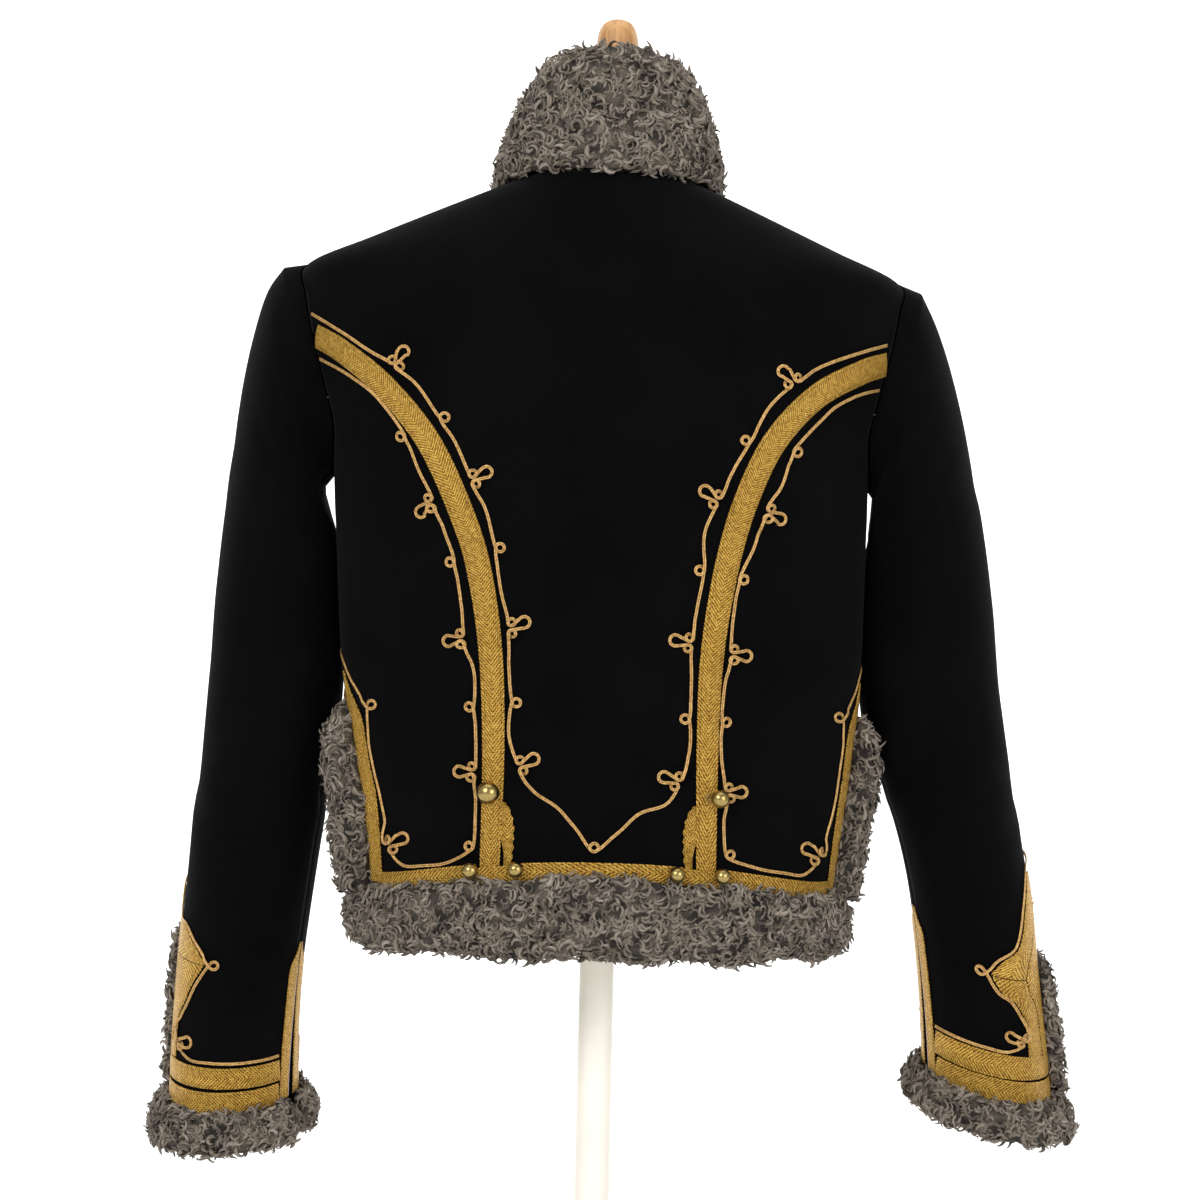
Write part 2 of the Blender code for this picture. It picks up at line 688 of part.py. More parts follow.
def route(knots, hand, fine=1, stride=15):
    """Flat points of a cord through its knots; hand 1 puts its loops on the left."""
    spots = [np.array(knot[1:3], dtype=float) for knot in knots]
    path = []
    leave, leave_way = None, None
    for i, (kind, _, _, lean) in enumerate(knots):
        before = spots[max(i - 1, 0)]
        after = spots[min(i + 1, len(spots) - 1)]
        come = heading(before, spots[i]) if i else heading(spots[i], after)
        go = heading(spots[i], after) if i < len(spots) - 1 else come
        ahead = heading(before, after)
        if kind == "eyelet":
            start, made = eyelet(spots[i], come, go, hand, fine)
        elif kind == "trefoil":
            start, made = trefoil(spots[i], ahead, hand, lean, fine)
            come = go = ahead
        else:
            start, made = spots[i], []
            come = go = ahead
        if leave is not None:
            span = math.hypot(*(start - leave))
            count = max(1, round(span * fine / stride))
            for j in range(1, count + 1):
                t = j / count
                first = (2 * t ** 3 - 3 * t ** 2 + 1) * leave + (t ** 3 - 2 * t ** 2 + t) * leave_way * span
                last = (3 * t ** 2 - 2 * t ** 3) * start + (t ** 3 - t ** 2) * come * span
                path.append(first + last)
        else:
            path.append(start)
        path.extend(made)
        leave, leave_way = path[-1], go
    return path


def stacked(points):
    """Lifts that carry a cord over its own earlier turns."""
    fine, owner = [], []
    for i in range(len(points) - 1):
        count = max(1, math.ceil((points[i + 1] - points[i]).length / 0.0007))
        for j in range(count):
            fine.append(points[i].lerp(points[i + 1], j / count))
            owner.append(i)
    spots = np.array(fine)
    steps = np.linalg.norm(np.diff(spots, axis=0), axis=1)
    arcs = np.concatenate(((0.0,), np.cumsum(steps)))
    lifts = np.zeros(len(spots))
    reach = CORD_WIDTH + 0.0003
    for j in range(1, len(spots)):
        lifts[j] = max(0.0, lifts[j - 1] - CORD_SLOPE * (arcs[j] - arcs[j - 1]))
        earlier = arcs[:j] < arcs[j] - 0.0048
        near = earlier & (np.linalg.norm(spots[:j] - spots[j], axis=1) < reach)
        if near.any():
            lifts[j] = max(lifts[j], lifts[:j][near].max() + CORD_RISE)
            back = j - 1
            while back > 0 and lifts[back] < lifts[j] - CORD_SLOPE * (arcs[j] - arcs[back]):
                lifts[back] = lifts[j] - CORD_SLOPE * (arcs[j] - arcs[back])
                back -= 1
    made = [0.0] * len(points)
    for i, lift in zip(owner, lifts):
        made[i] = max(made[i], lift)
        made[i + 1] = max(made[i + 1], lift)
    return made


def cord(name, surface, places, finish):
    """A three-sided tracing cord along places on a surface."""
    points = [surface(u, v) for u, v in places]
    lifts = stacked(points)
    sections = []
    for i, (u, v) in enumerate(places):
        ahead = points[min(i + 1, len(points) - 1)] - points[max(i - 1, 0)]
        up = normal_of(surface, u, v)
        across = up.cross(ahead).normalized() * CORD_WIDTH / 2
        foot = points[i] + up * (LAY + lifts[i])
        sections.append((foot - across, foot + up * CORD_HEIGHT, foot + across))
    return roll(name, sections, finish)


def hip_front(side, knots):
    """The plain front half of a hip's tracing, its back half turned over about the fur strip."""
    plain = tuple(("run", x, height, 0) for _, x, height, _ in knots[HIP_KNOTS:])
    places = []
    for spot in reversed(route(plain, side)):
        turn, height = on_back(*spot)
        back, front = hip_fur_edges(side, height)
        places.append((front + back - turn, height))
    return places


def make_traces(finish):
    """The cords of the back: one inside the back laces and one outside each."""
    inner = INNER_LEFT + (CENTRE_EYELET,) + tuple(reversed(INNER_RIGHT))
    cord("trace_inner", body, [on_back(*spot) for spot in route(inner, 1)], finish)
    for name, side, knots in (("left", -1, OUTER_LEFT), ("right", 1, OUTER_RIGHT)):
        places = [on_back(*spot) for spot in route(knots, side)]
        front = hip_front(side, knots)
        places.append(((places[-1][0] + front[0][0]) / 2, places[-1][1] + 4))
        places.extend(front)
        cord(f"trace_outer_{name}", body, places, finish)


def make_balls(brass):
    """Ball buttons on the back laces and above the hem."""
    for name, x, height, radius in BALLS:
        turn, level = on_back(x, height)
        centre = body(turn, level, LAY + TAIL_THICK + SEAM + radius * MM)
        bpy.ops.mesh.primitive_uv_sphere_add(segments=8, ring_count=6, radius=radius * MM, location=centre)
        ball = bpy.context.object
        ball.name = name
        for linked in ball.users_collection:
            linked.objects.unlink(ball)
        PARTS.objects.link(ball)
        ball.data.materials.append(brass)
        ball.data.shade_smooth()


def fur_top(turn):
    """Upper edge of the hem's fur, which dips under the ball buttons."""
    level = fur_line(turn)
    for _, x, height, radius in BALLS:
        if height < -170:
            away = (turn - on_back(x, height)[0]) / 5.0
            level = min(level, level + (height - radius - 3 - level) * math.exp(-away * away))
    return level


def lump(turn, level, size):
    """Uneven depth of the curled fleece, between about -1 and 1 times its size."""
    waves = (math.sin(0.137 * turn + 0.9) + math.sin(0.31 * turn + 0.05 * level + 2.1)
             + math.sin(0.071 * level - 0.23 * turn + 0.4))
    return size * waves / 3


# Section of a fur band, from its lower inner edge round its outside: share of its height
# up from the lower edge, and share of its thickness.
FUR_SECTION = ((0.0, 0.0), (-0.07, 0.45), (0.1, 0.92), (0.42, 1.0), (0.74, 0.85), (0.97, 0.42), (1.0, 0.0))


def fur_band(name, surface, turns, bottom, top, thickness, finish, section=FUR_SECTION):
    """A band of fleece on a surface between two edges, one section for each turn."""
    sections = []
    for turn in turns:
        low, high = bottom(turn), top(turn)
        ring = []
        for rise, out in section:
            level = low + (high - low) * rise
            depth = LAY + out * (thickness + lump(turn * 1.7, level * 2, 0.0028))
            ring.append(surface(turn, level, depth))
        sections.append(ring)
    return roll(name, sections, finish)


def make_hem_fur(fur):
    """Fleece all round the hem, open at the centre front."""
    def bottom(turn):
        return HEM_FUR_FOOT + lump(turn, 0, 4.0)
    edge = 180 - turn_at_x(2.0, HEM)
    count = 42
    turns = [-edge + 2 * edge * i / count for i in range(count + 1)]
    fur_band("fur_hem", body, turns, bottom, fur_top, HEM_FUR_THICK, fur)


def strip(name, surface, levels, edges, thickness, finish, across=4,
          profile=((0.93, 0.6), (0.7, 1.0), (0.3, 1.0), (0.07, 0.6))):
    """An upright strip of fleece: a section across it for each level, in shares of its width."""
    sections = []
    for level in levels:
        first, last = edges(level)
        ring = [surface(first + (last - first) * j / across, level, LAY) for j in range(across + 1)]
        for part, out in profile:
            turn = first + (last - first) * part
            depth = LAY + (thickness(level) + lump(turn * 2.3, level * 3, 0.0015)) * out
            ring.append(surface(turn, level, max(depth, LAY + 0.0012)))
        sections.append(ring)
    return roll(name, sections, finish)


def hip_lace_edge(side, height):
    """Turn of the hip lace's inner edge on the back."""
    left, right = blend(HIP_LACE, height)
    return on_back(side * (left if side < 0 else right), height)[0]


def hip_fur_edges(side, height):
    """Turns of the hip fur's back and front edge."""
    back = hip_lace_edge(side, height) + side * (HIP_LACE_TURN + 0.4)
    return back, back + side * blend(HIP_FUR_WIDTH, height)[0]


def make_hip_fur(fur):
    """Upright fleece at each side seam, above the hem."""
    levels = (-210, -190, -170, -150, -130, -112, -98, -88, -83)
    for name, side in (("left", -1), ("right", 1)):
        def thickness(level):
            return 0.0035 + 0.0165 * ease((-78 - level) / 26)
        strip(f"fur_hip_{name}", body, levels, lambda level: hip_fur_edges(side, level), thickness, fur, 6,
              profile=((0.95, 0.35), (0.7, 0.62), (0.34, 1.1), (0.07, 0.85)))


def make_front_fur(fur):
    """Fleece down both front edges."""
    levels = (-211, -140, -80, -20, 40, 91, 115, 133, 151, 168, 183, 197, 211, 223, 243, 270, 298)
    for name, side in (("left", -1), ("right", 1)):
        def edges(level):
            return side * (180 - turn_at_x(FRONT_FUR_EDGE, level)), side * (180 - turn_at_x(1.2, level))
        strip(f"fur_front_{name}", body, levels, edges, lambda level: FRONT_FUR_THICK, fur, 2)


def make_hip_laces(lace):
    """Laces along both edges of the hip fur, up to a point at the side seam."""
    levels = (-200, -180, -160, -142, -126, -111, -97, -85, -75, -65, -57)
    for name, side in (("left", -1), ("right", 1)):
        for part in ("back", "front"):
            low, high = [], []
            for level in levels:
                inner = hip_lace_edge(side, level)
                back, front = hip_fur_edges(side, level)
                outer = inner + side * HIP_LACE_TURN * (1 - 0.85 * ease((level + 84) / 27))
                turns = (inner, (inner + outer) / 2, outer)
                if part == "front":
                    turns = tuple(front + back - turn for turn in turns)
                low.append([body(turn, level, LAY) for turn in turns])
                high.append([body(turn, level, LAY + LACE_THICK) for turn in turns])
            wall(f"lace_hip_{name}_{part}", low, high, lace)


def fur_line(turn):
    """Upper edge of the hem's fur where nothing presses it down."""
    return -205.5 + 8 * math.cos(math.radians(2.6 * min(abs(turn), 70)))


def make_hem_laces(lace):
    """Hem lace between the back laces, beside them and on the fronts."""
    def band(name, first, last, width):
        count = max(3, round(abs(last - first) / 6))
        low, high = [], []
        for i in range(count + 1):
            turn = first + (last - first) * i / count
            base = fur_line(turn) + 0.8
            low.append([body(turn, base, LAY), body(turn, base + width, LAY)])
            high.append([body(turn, base, LAY + LACE_THICK), body(turn, base + width, LAY + LACE_THICK)])
        wall(name, low, high, lace)

    band("lace_hem_middle", on_back(-62.3, -192)[0], on_back(60.3, -192)[0], 7.5)
    for name, side in (("left", -1), ("right", 1)):
        inner = on_back(side * 88, -200)[0]
        outer = hip_lace_edge(side, -203) - side * 0.4
        band(f"lace_hem_{name}", inner, outer, 9)
        back, front = hip_fur_edges(side, -203)
        start = front + back - outer
        end = side * (180 - turn_at_x(28, -205))
        band(f"lace_hem_front_{name}", start, end, 9)


def collar_plain(turn, level):
    """Outer face of the stand collar."""
    seam = body_plain(turn, NECKLINE)
    angle = math.radians(turn)
    back = max(0, math.cos(angle))
    rise = COLLAR_HEIGHT_FRONT + (COLLAR_HEIGHT_BACK - COLLAR_HEIGHT_FRONT) * (0.5 + 0.5 * math.cos(angle))
    depth = COLLAR_TOP_BACK if back else COLLAR_TOP_FRONT
    base_height = (seam.z - WAIST_LEVEL) / MM
    top = hang(COLLAR_TOP_WIDTH * math.sin(angle), -depth * math.cos(angle) + 4, base_height + rise)
    bulge = 1.5 * MM * math.sin(math.pi * min(1, max(0, level)))
    place = seam.lerp(top, level)
    return place + Vector((math.sin(angle), -math.cos(angle), 0)) * bulge


def collar(turn, level, lift=0.0):
    """Outer face of the stand collar, lifted along its normal."""
    place = collar_plain(turn, level)
    if lift:
        across = collar_plain(turn + 0.5, level) - collar_plain(turn - 0.5, level)
        up = collar_plain(turn, level + 0.02) - collar_plain(turn, level - 0.02)
        place = place + across.cross(up).normalized() * lift
    return place


def make_collar(cloth, fur):
    """The stand collar and the fleece over it."""
    count = 26
    turns = [-COLLAR_EDGE + 2 * COLLAR_EDGE * i / count for i in range(count + 1)]
    levels = (0.012, 0.35, 0.7, 1.0)
    low = [[collar(turn, level, -CLOTH) for turn in turns] for level in levels]
    high = [[collar(turn, level) for turn in turns] for level in levels]
    wall("collar_stand", low, high, cloth)

    # The fleece covers the outside and lips over the top edge.
    section = ((0.7, 0.0), (0.35, 0.0), (0.012, 0.0), (-0.03, 0.45), (0.13, 0.9), (0.5, 1.05),
               (0.88, 0.92), (1.06, 0.5), (1.0, 0.0))
    sections = []
    for turn in turns:
        ring = []
        for level, out in section:
            depth = LAY + out * (COLLAR_FUR_THICK + lump(turn * 1.9, level * 120, 0.0026))
            ring.append(collar(turn, level, depth))
        sections.append(ring)
    roll("fur_collar", sections, fur)


def make_cuff_fur(name, surface, hind, fur):
    """Fur round the sleeve's end, open at the slit."""
    start, end = hind - 360 + 7, hind - 7
    count = 20
    turns = [start + (end - start) * i / count for i in range(count + 1)]

    def bottom(turn):
        return -CUFF_FUR_HEIGHT - 9 + lump(turn, 0, 2.0)

    def top(turn):
        return -0.8 + lump(turn, 30, 1.0)
    fur_band(f"fur_cuff_{name}", surface, turns, bottom, top, CUFF_FUR_THICK, fur)


def make_forearm_fur(name, surface, strip_edge, strip_top, fur):
    """The upright fur strip on the sleeve's outer side."""
    def thickness(level):
        return 0.0115 * ease((strip_top + 6 - level) / 26) + 0.0015
    levels = tuple(3 + (strip_top - 3) * i / 7 for i in range(8))
    edges = (strip_edge, strip_edge - STRIP_WIDTH)
    strip(f"fur_strip_{name}", surface, levels, lambda level: edges, thickness, fur)


def cuff_sides(hind, strip_edge):
    """Each half of the cuff's lace: its name, its way round, and its first and last turn."""
    return (("back", 1, strip_edge + 1.2, hind - slit_open(0) - 13.5),
            ("front", -1, strip_edge - STRIP_WIDTH - 1.2, hind - 360 + slit_open(0) + 13.5))


def peak_rows(peak, tip):
    """Outline of the peaked lace: heights, and how far it reaches from the fur strip in degrees."""
    return ((CUFF_ROWS_HEIGHT + 0.5, 44), (52, 34), (68, 40), (86, 54), (peak - 6, 66),
            (peak, CUFF_PEAK_TURN), (peak + 5, 62), (peak + 17, 42), (tip - 22, 20), (tip, 3.5))


def make_cuff_lace(name, surface, hind, strip_edge, peak, tip, lace):
    """Two rows of lace round the cuff and the peaked lace beside the strip, behind and in front."""
    for part, way, start, end in cuff_sides(hind, strip_edge):
        count = max(3, round(abs(end - start) / 14))
        low, high = [], []
        for i in range(count + 1):
            turn = start + (end - start) * i / count
            row = (1.2, CUFF_ROWS_HEIGHT)
            low.append([surface(turn, height, CUFF_LAY) for height in row])
            high.append([surface(turn, height, CUFF_LAY + LACE_THICK) for height in row])
        wall(f"lace_cuff_{name}_{part}", low, high, lace)
        low, high = [], []
        for height, reach in peak_rows(peak, tip):
            reach = reach if way > 0 else reach * CUFF_FRONT_SHARE
            turns = [start + way * reach * j / 4 for j in range(5)]
            low.append([surface(turn, height, LAY) for turn in turns])
            high.append([surface(turn, height, LAY + LACE_THICK) for turn in turns])
        wall(f"lace_peak_{name}_{part}", low, high, lace)


def make_slit_lace(name, surface, hind, lace):
    """Lace along both edges of the slit, narrowing to its upper end."""
    for part, way in (("upper", -1), ("under", 1)):
        low, high = [], []
        for height, share in ((1.2, 1), (24, 1), (48, 1), (76, 1), (102, 1), (SLIT_HEIGHT + 8, 0.15)):
            edge = hind + way * (slit_open(height) + 0.8)
            turns = [edge, edge + way * SLIT_LACE_TURN * share]
            low.append([surface(turn, height, LAY) for turn in turns])
            high.append([surface(turn, height, LAY + LACE_THICK) for turn in turns])
        wall(f"lace_slit_{name}_{part}", low, high, lace)


def cuff_knots(hind, strip_edge, front_edge, peak, tip, unit):
    """Places of the cord above the cuff's lace, up to the peak and the tip, and down the front."""
    over = CUFF_ROWS_HEIGHT + 3.2
    back = (
        ("run", hind - 19, over), ("run", hind - 45, over), ("run", strip_edge + 82, over),
        ("run", strip_edge + 60, over + 0.8), ("trefoil", strip_edge + 47.5, over + 12),
        ("run", strip_edge + 44.5, over + 27), ("run", strip_edge + 54.5, over + 42),
        ("run", strip_edge + 66, peak - 13), ("eyelet", strip_edge + CUFF_PEAK_TURN + 10, peak + 2),
        ("run", strip_edge + 62, peak + 14), ("run", strip_edge + 42, peak + 26),
        ("run", strip_edge + 24, tip - 18), ("run", strip_edge + 4, tip + 5),
    )
    front = (
        ("run", front_edge - 6, tip + 4), ("run", front_edge - 21, tip - 18),
        ("run", front_edge - 36, peak + 25), ("run", front_edge - 50, peak + 14),
        ("eyelet", front_edge - CUFF_PEAK_TURN * CUFF_FRONT_SHARE - 10, peak + 2),
        ("run", front_edge - 54, peak - 13), ("run", front_edge - 45, over + 42),
        ("run", front_edge - 37, over + 27), ("run", front_edge - 36, over + 12),
        ("run", front_edge - 46, over + 1), ("run", front_edge - 62, over), ("run", hind - 360 + 45, over),
        ("run", hind - 360 + 19, over),
    )
    return tuple((kind, turn * unit, height, 20) for kind, turn, height in back + front)


def make_cuffs(lace, fur, trace):
    """Everything on the sleeves' lower ends."""
    unit = math.radians(1) * CUFF_TRACE_RADIUS
    for name, side, hind, strip_edge, peak, tip, strip_top in CUFFS:
        def surface(turn, height, lift=0.0):
            return sleeve(side, turn, along_at(side, height), lift + CUFF_LAY - LAY)
        make_cuff_fur(name, surface, hind, fur)
        make_forearm_fur(name, surface, strip_edge, strip_top, fur)
        make_cuff_lace(name, surface, hind, strip_edge, peak, tip, lace)
        make_slit_lace(name, surface, hind, lace)
        knots = cuff_knots(hind, strip_edge, strip_edge - STRIP_WIDTH, peak, tip, unit)
        places = [(spot[0] / unit, spot[1]) for spot in route(knots, -1, stride=14)]
        cord(f"trace_cuff_{name}", surface, places, trace)


def make_form(linen, wood, paint):
    """The limbless dress form: torso, turned wooden knob, and pole on a round base."""
    back_turns = [j / BACK_COLUMNS for j in range(BACK_COLUMNS + 1)]
    front_turns = [j / FRONT_COLUMNS for j in range(1, FRONT_COLUMNS + 1)]
    rings = []
    rows = (TORSO_END, -80, 100, 220, 234, SHOULDER, 256, 270, 285, NECKLINE)
    for height in rows:
        side_turn = turn_at_y(ARM_MID_Y, height)
        turns = [-side_turn + 2 * side_turn * t for t in back_turns]
        turns += [side_turn + (180 - side_turn) * t for t in front_turns]
        turns += [-180 + (180 - side_turn) * t for t in front_turns[:-1]]
        near = ease((height - 236) / (256 - 236)) * (1 - ease((height - 285) / 18))
        clear = FORM_CLEAR + (FORM_TOUCH - FORM_CLEAR) * near
        rings.append([body(turn, height, -CLOTH - clear * MM) for turn in turns])
    for point in rings[0]:
        point.z = WAIST_LEVEL + TORSO_END * MM
    for level, radius in zip((322, 344, 358, NECK_TOP), (53, NECK_RADIUS, 49, 44)):
        ring = []
        for point in rings[-1]:
            middle = Vector((0, 0.002, point.z))
            out = (point - middle).normalized() * radius * MM
            ring.append(Vector((out.x, 0.002 + out.y, WAIST_LEVEL + level * MM)))
        rings.append(ring)
    roll("form_torso", rings, linen)

    knob = ((0, 436), (8, 434.5), (13, 430), (15.4, 423), (16, 412), (15.5, 400), (13, 392), (16, 386),
            (30, 380), (38, 376), (39, 370), (36, NECK_TOP + 0.3), (0, NECK_TOP + 0.3))
    turned("form_knob", knob, 14, wood, 0.002)
    stand = ((0, TORSO_END - 0.3), (POLE_RADIUS, TORSO_END - 0.3), (POLE_RADIUS, -520), (POLE_RADIUS + 9, -528),
             (POLE_RADIUS + 12, -536), (BASE_RADIUS - 14, -560 + BASE_THICKNESS),
             (BASE_RADIUS - 4, -560 + BASE_THICKNESS - 4), (BASE_RADIUS, -560 + BASE_THICKNESS - 11),
             (BASE_RADIUS, -560 + 2), (BASE_RADIUS - 2, -560), (0, -560))
    turned("form_stand", stand, 22, paint, 0.0)


def turned(name, profile, steps, finish, y):
    """A solid of revolution about the form's upright axis."""
    mesh = bpy.data.meshes.new(name)
    points = [(radius * MM, 0, WAIST_LEVEL + height * MM) for radius, height in profile]
    mesh.from_pydata(points, [(i, i + 1) for i in range(len(points) - 1)], [])
    made = place_object(name, mesh, finish, smooth=False)
    made.location.y = y
    screw = made.modifiers.new("turn", "SCREW")
    screw.steps = steps
    screw.render_steps = steps
    screw.use_merge_vertices = True
    screw.merge_threshold = 0.00005
    return made


for leftover in list(bpy.data.objects):
    bpy.data.objects.remove(leftover)

PARTS = new_collection("pelisse_coat_on_dress_form")
WOOL = material("black_wool", 0.004, 0.004, 0.006, 0.9)
FLEECE = material("grey_lamb_fleece", 0.16, 0.14, 0.12, 0.85)
LACE = material("gold_lace", 0.58, 0.31, 0.05, 0.4, 0.8)
TRACING = material("gold_tracing_cord", 0.62, 0.36, 0.12, 0.45, 0.6)
BRASS = material("gilt_brass", 0.8, 0.6, 0.3, 0.2, 1.0)
LINEN = material("form_linen", 0.72, 0.67, 0.58, 0.9)
BEECH = material("turned_beech", 0.62, 0.37, 0.14, 0.45)
PAINT = material("cream_painted_steel", 0.75, 0.73, 0.68, 0.4)

make_body(WOOL)
make_sleeves(WOOL)
make_collar(WOOL, FLEECE)
make_back_laces(LACE)
make_hip_laces(LACE)
make_hem_laces(LACE)
make_traces(TRACING)
make_balls(BRASS)
make_hem_fur(FLEECE)
make_hip_fur(FLEECE)
make_front_fur(FLEECE)
make_cuffs(LACE, FLEECE, TRACING)
make_form(LINEN, BEECH, PAINT)
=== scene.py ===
"""Looks of a hussar's pelisse on its dress form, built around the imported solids."""

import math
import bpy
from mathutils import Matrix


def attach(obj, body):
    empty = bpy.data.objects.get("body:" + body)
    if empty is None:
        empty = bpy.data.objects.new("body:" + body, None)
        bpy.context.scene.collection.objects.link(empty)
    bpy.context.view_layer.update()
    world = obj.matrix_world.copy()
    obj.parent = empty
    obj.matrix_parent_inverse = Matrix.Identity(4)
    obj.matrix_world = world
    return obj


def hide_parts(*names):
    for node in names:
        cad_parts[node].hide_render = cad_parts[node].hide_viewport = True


bl_info = {
    "name": "Pelisse on a dress form",
    "version": (1, 0, 0),
    "blender": (4, 5, 0),
    "location": "View3D > Sidebar > Pelisse",
    "description": "Builds the cloth, fleece, lace, cord and form of a fur-trimmed coat",
    "category": "Object",
}

import bmesh
import bpy
import numpy as np
from bpy.props import FloatProperty, PointerProperty, StringProperty
from mathutils import Matrix, Vector, noise
from mathutils.bvhtree import BVHTree

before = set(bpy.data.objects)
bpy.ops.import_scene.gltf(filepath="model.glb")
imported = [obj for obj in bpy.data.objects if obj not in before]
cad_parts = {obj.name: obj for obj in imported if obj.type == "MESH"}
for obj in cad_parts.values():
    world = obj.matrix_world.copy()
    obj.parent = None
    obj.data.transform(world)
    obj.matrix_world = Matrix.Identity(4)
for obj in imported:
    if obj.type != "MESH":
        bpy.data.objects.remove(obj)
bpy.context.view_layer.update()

MM = 0.001
WAIST_LEVEL = 0.56         # height of the tables' zero above the floor
CLOTH = 0.002              # thickness of the wool cloth
SEAM = 0.0003              # space between two pieces at a seam
LAY = 0.0006               # space between a panel and what is sewn on it
HEM = -250                 # lower edge of the body, under the fur
NECKLINE = 303             # where the collar is set on
SQUARE = 2.3               # 2 would give the body round sections, more gives flatter ones
NECK_BACK_RISE = 11
NECK_FRONT_DROP = 40
UNDERARM = 87
SHOULDER = 243
ARM_MID_Y = 5
ARM_HALF_DEPTH = 52
ARM_MID = (SHOULDER + UNDERARM) / 2
ARM_HALF_HEIGHT = (SHOULDER - UNDERARM) / 2
SIDEWAYS_HANG = -7         # how far the shoulders hang to the left
TILT = 0.0113              # how far the right shoulder hangs lower, for each unit of width
COLLAR_HEIGHT_BACK = 90
COLLAR_HEIGHT_FRONT = 72
COLLAR_TOP_WIDTH = 49      # half width and depths of the collar's upper edge
COLLAR_TOP_BACK = 52
COLLAR_TOP_FRONT = 54
COLLAR_EDGE = 178.6        # turn of the collar's front edges

# height, half width, depth of the back, depth of the front
BODY = (
    (-262, 166, 107, 117),
    (-210, 174.5, 108, 118),
    (-150, 183, 110, 120),
    (-100, 189, 112, 122),
    (-45, 195, 116, 127),
    (0, 197, 120, 132),
    (60, 199, 124, 136),
    (120, 203, 124, 134),
    (155, 215, 121, 128),
    (190, 225, 115, 118),
    (220, 226, 108, 105),
    (243, 221, 100, 92),
    (262, 178, 93, 82),
    (280, 135, 84, 75),
    (295, 98, 75, 70),
    (303, 78, 68, 68),
    (315, 70, 62, 62),
)

# Panel rows, from the hem to the neckline.
BODY_ROWS = (HEM, -195, -140, -80, -20, 40, UNDERARM, 91, 100, 115, 133, 151, 168, 183,
             197, 211, 223, 234, 240, SHOULDER, 256, 270, 285, NECKLINE)

# Middle line of the two back laces, which cover the back seams, from armhole to hem:
# left x, left height, right x, right height, half width of the lace
BACK_LACE = (
    (-216, 189.5, 202, 178, 8.2),
    (-195, 177, 182, 170, 8.4),
    (-163, 151, 150, 151, 8.6),
    (-130, 112, 120, 118, 8.8),
    (-104, 59, 100, 75, 8.8),
    (-90, 15, 87, 27, 8.6),
    (-81, -45, 78, -35, 8.2),
    (-78, -117, 76, -100, 7.6),
    (-79, -196, 77, -196, 6.8),
)


def knots(*rows):
    """Knots of a cord: kind, x, height and lean. A bare place is a plain run of the cord."""
    return tuple(("run", *row, 0) if len(row) == 2 else (*row, 0)[:4] for row in rows)


# Tracing cords: kind of knot, x, height, and for a trefoil the lean of its petal in degrees
INNER_LEFT = knots(
    (-220, 206), (-194, 190), (-171, 175), ("trefoil", -154, 168, 8), (-139, 152),
    ("eyelet", -118, 129), (-110, 111), ("trefoil", -95, 85, 6), (-87, 63), ("eyelet", -76, 36),
    (-75, 6), ("trefoil", -66, -21, 18), (-68, -48), ("eyelet", -62, -75), (-67, -98),
    ("trefoil", -57, -120, 6), (-50, -137), (-31, -150), (-19, -163),
)
CENTRE_EYELET = knots(("eyelet", -4, -178))
INNER_RIGHT = knots(
    (202, 192), (181, 184.5), (155, 174), ("trefoil", 131, 161, 4), (115, 142), ("eyelet", 98, 117),
    (91, 98), ("trefoil", 77, 74, -14), (70, 50), ("eyelet", 67, 23), (66, -3),
    ("trefoil", 60, -29, -6), (63, -58), ("eyelet", 59, -84), (63, -105), ("trefoil", 54, -129, 4),
    (48, -145), (28, -153), (12, -168),
)
OUTER_LEFT = knots(
    (-213, 173), (-190, 160), (-167, 142), ("eyelet", -150, 115), (-136, 90),
    ("trefoil", -127, 67, -18), (-116, 45), ("eyelet", -112, 25), (-103, -8),
    ("trefoil", -103, -30, 0), (-93, -55), ("eyelet", -96, -79), (-91, -100),
    ("trefoil", -93, -126, 0), (-90, -155), ("eyelet", -94, -180), (-108, -192), (-128, -196),
    (-144, -196), ("trefoil", -151, -182, -12), (-157.5, -160), (-161, -145), (-166, -126),
    (-170, -104), ("eyelet", -168, -80), (-182, -66), (-193, -46),
)
OUTER_RIGHT = knots(
    (197, 159), (188, 156.5), (176, 151.5), (160, 141), ("eyelet", 136, 110), (125, 85),
    ("trefoil", 116, 65, 0), (106, 40), ("eyelet", 99, 17), (92, -12), ("trefoil", 93, -37, 0),
    (87, -62), ("eyelet", 89, -86), (86, -110), ("trefoil", 92, -137, 0), (89, -160),
    ("eyelet", 94, -182), (111, -191), (136, -196), (150, -197), ("trefoil", 158, -184, -12),
    (167, -163), (171.5, -143), (174, -121), (176, -99), ("eyelet", 172, -82), (183, -68),
    (190, -48),
)
CORD_WIDTH = 0.0026
CORD_RISE = 0.0015         # lift where a cord passes over itself
CORD_SLOPE = 0.5
EYELET_RADIUS = 3.0
LOOP_RADIUS = 2.6
LOOP_APART = 3.9
PETAL_REACH = 9.4          # from the small loops to the middle of the petal's round end
PETAL_RADIUS = 4.0
PETAL_SWEEP = 232          # degrees of the petal's round end
HIP_KNOTS = -8             # the outer tracing's knots along the hip

# Inner edge of the hip laces: height, left x, right x
HIP_LACE = (
    (-212, 159, 168),
    (-176, 161.5, 171.5),
    (-145, 165, 175),
    (-126, 169.5, 177.5),
    (-104, 173.5, 179.5),
    (-90, 176.5, 181.5),
    (-70, 186, 187),
    (-52, 193, 190.5),
)
HIP_LACE_TURN = 6.6        # width of the hip lace in degrees of turn
HIP_FUR_WIDTH = ((-212, 36), (-150, 33), (-100, 22), (-83, 12), (-48, 12))

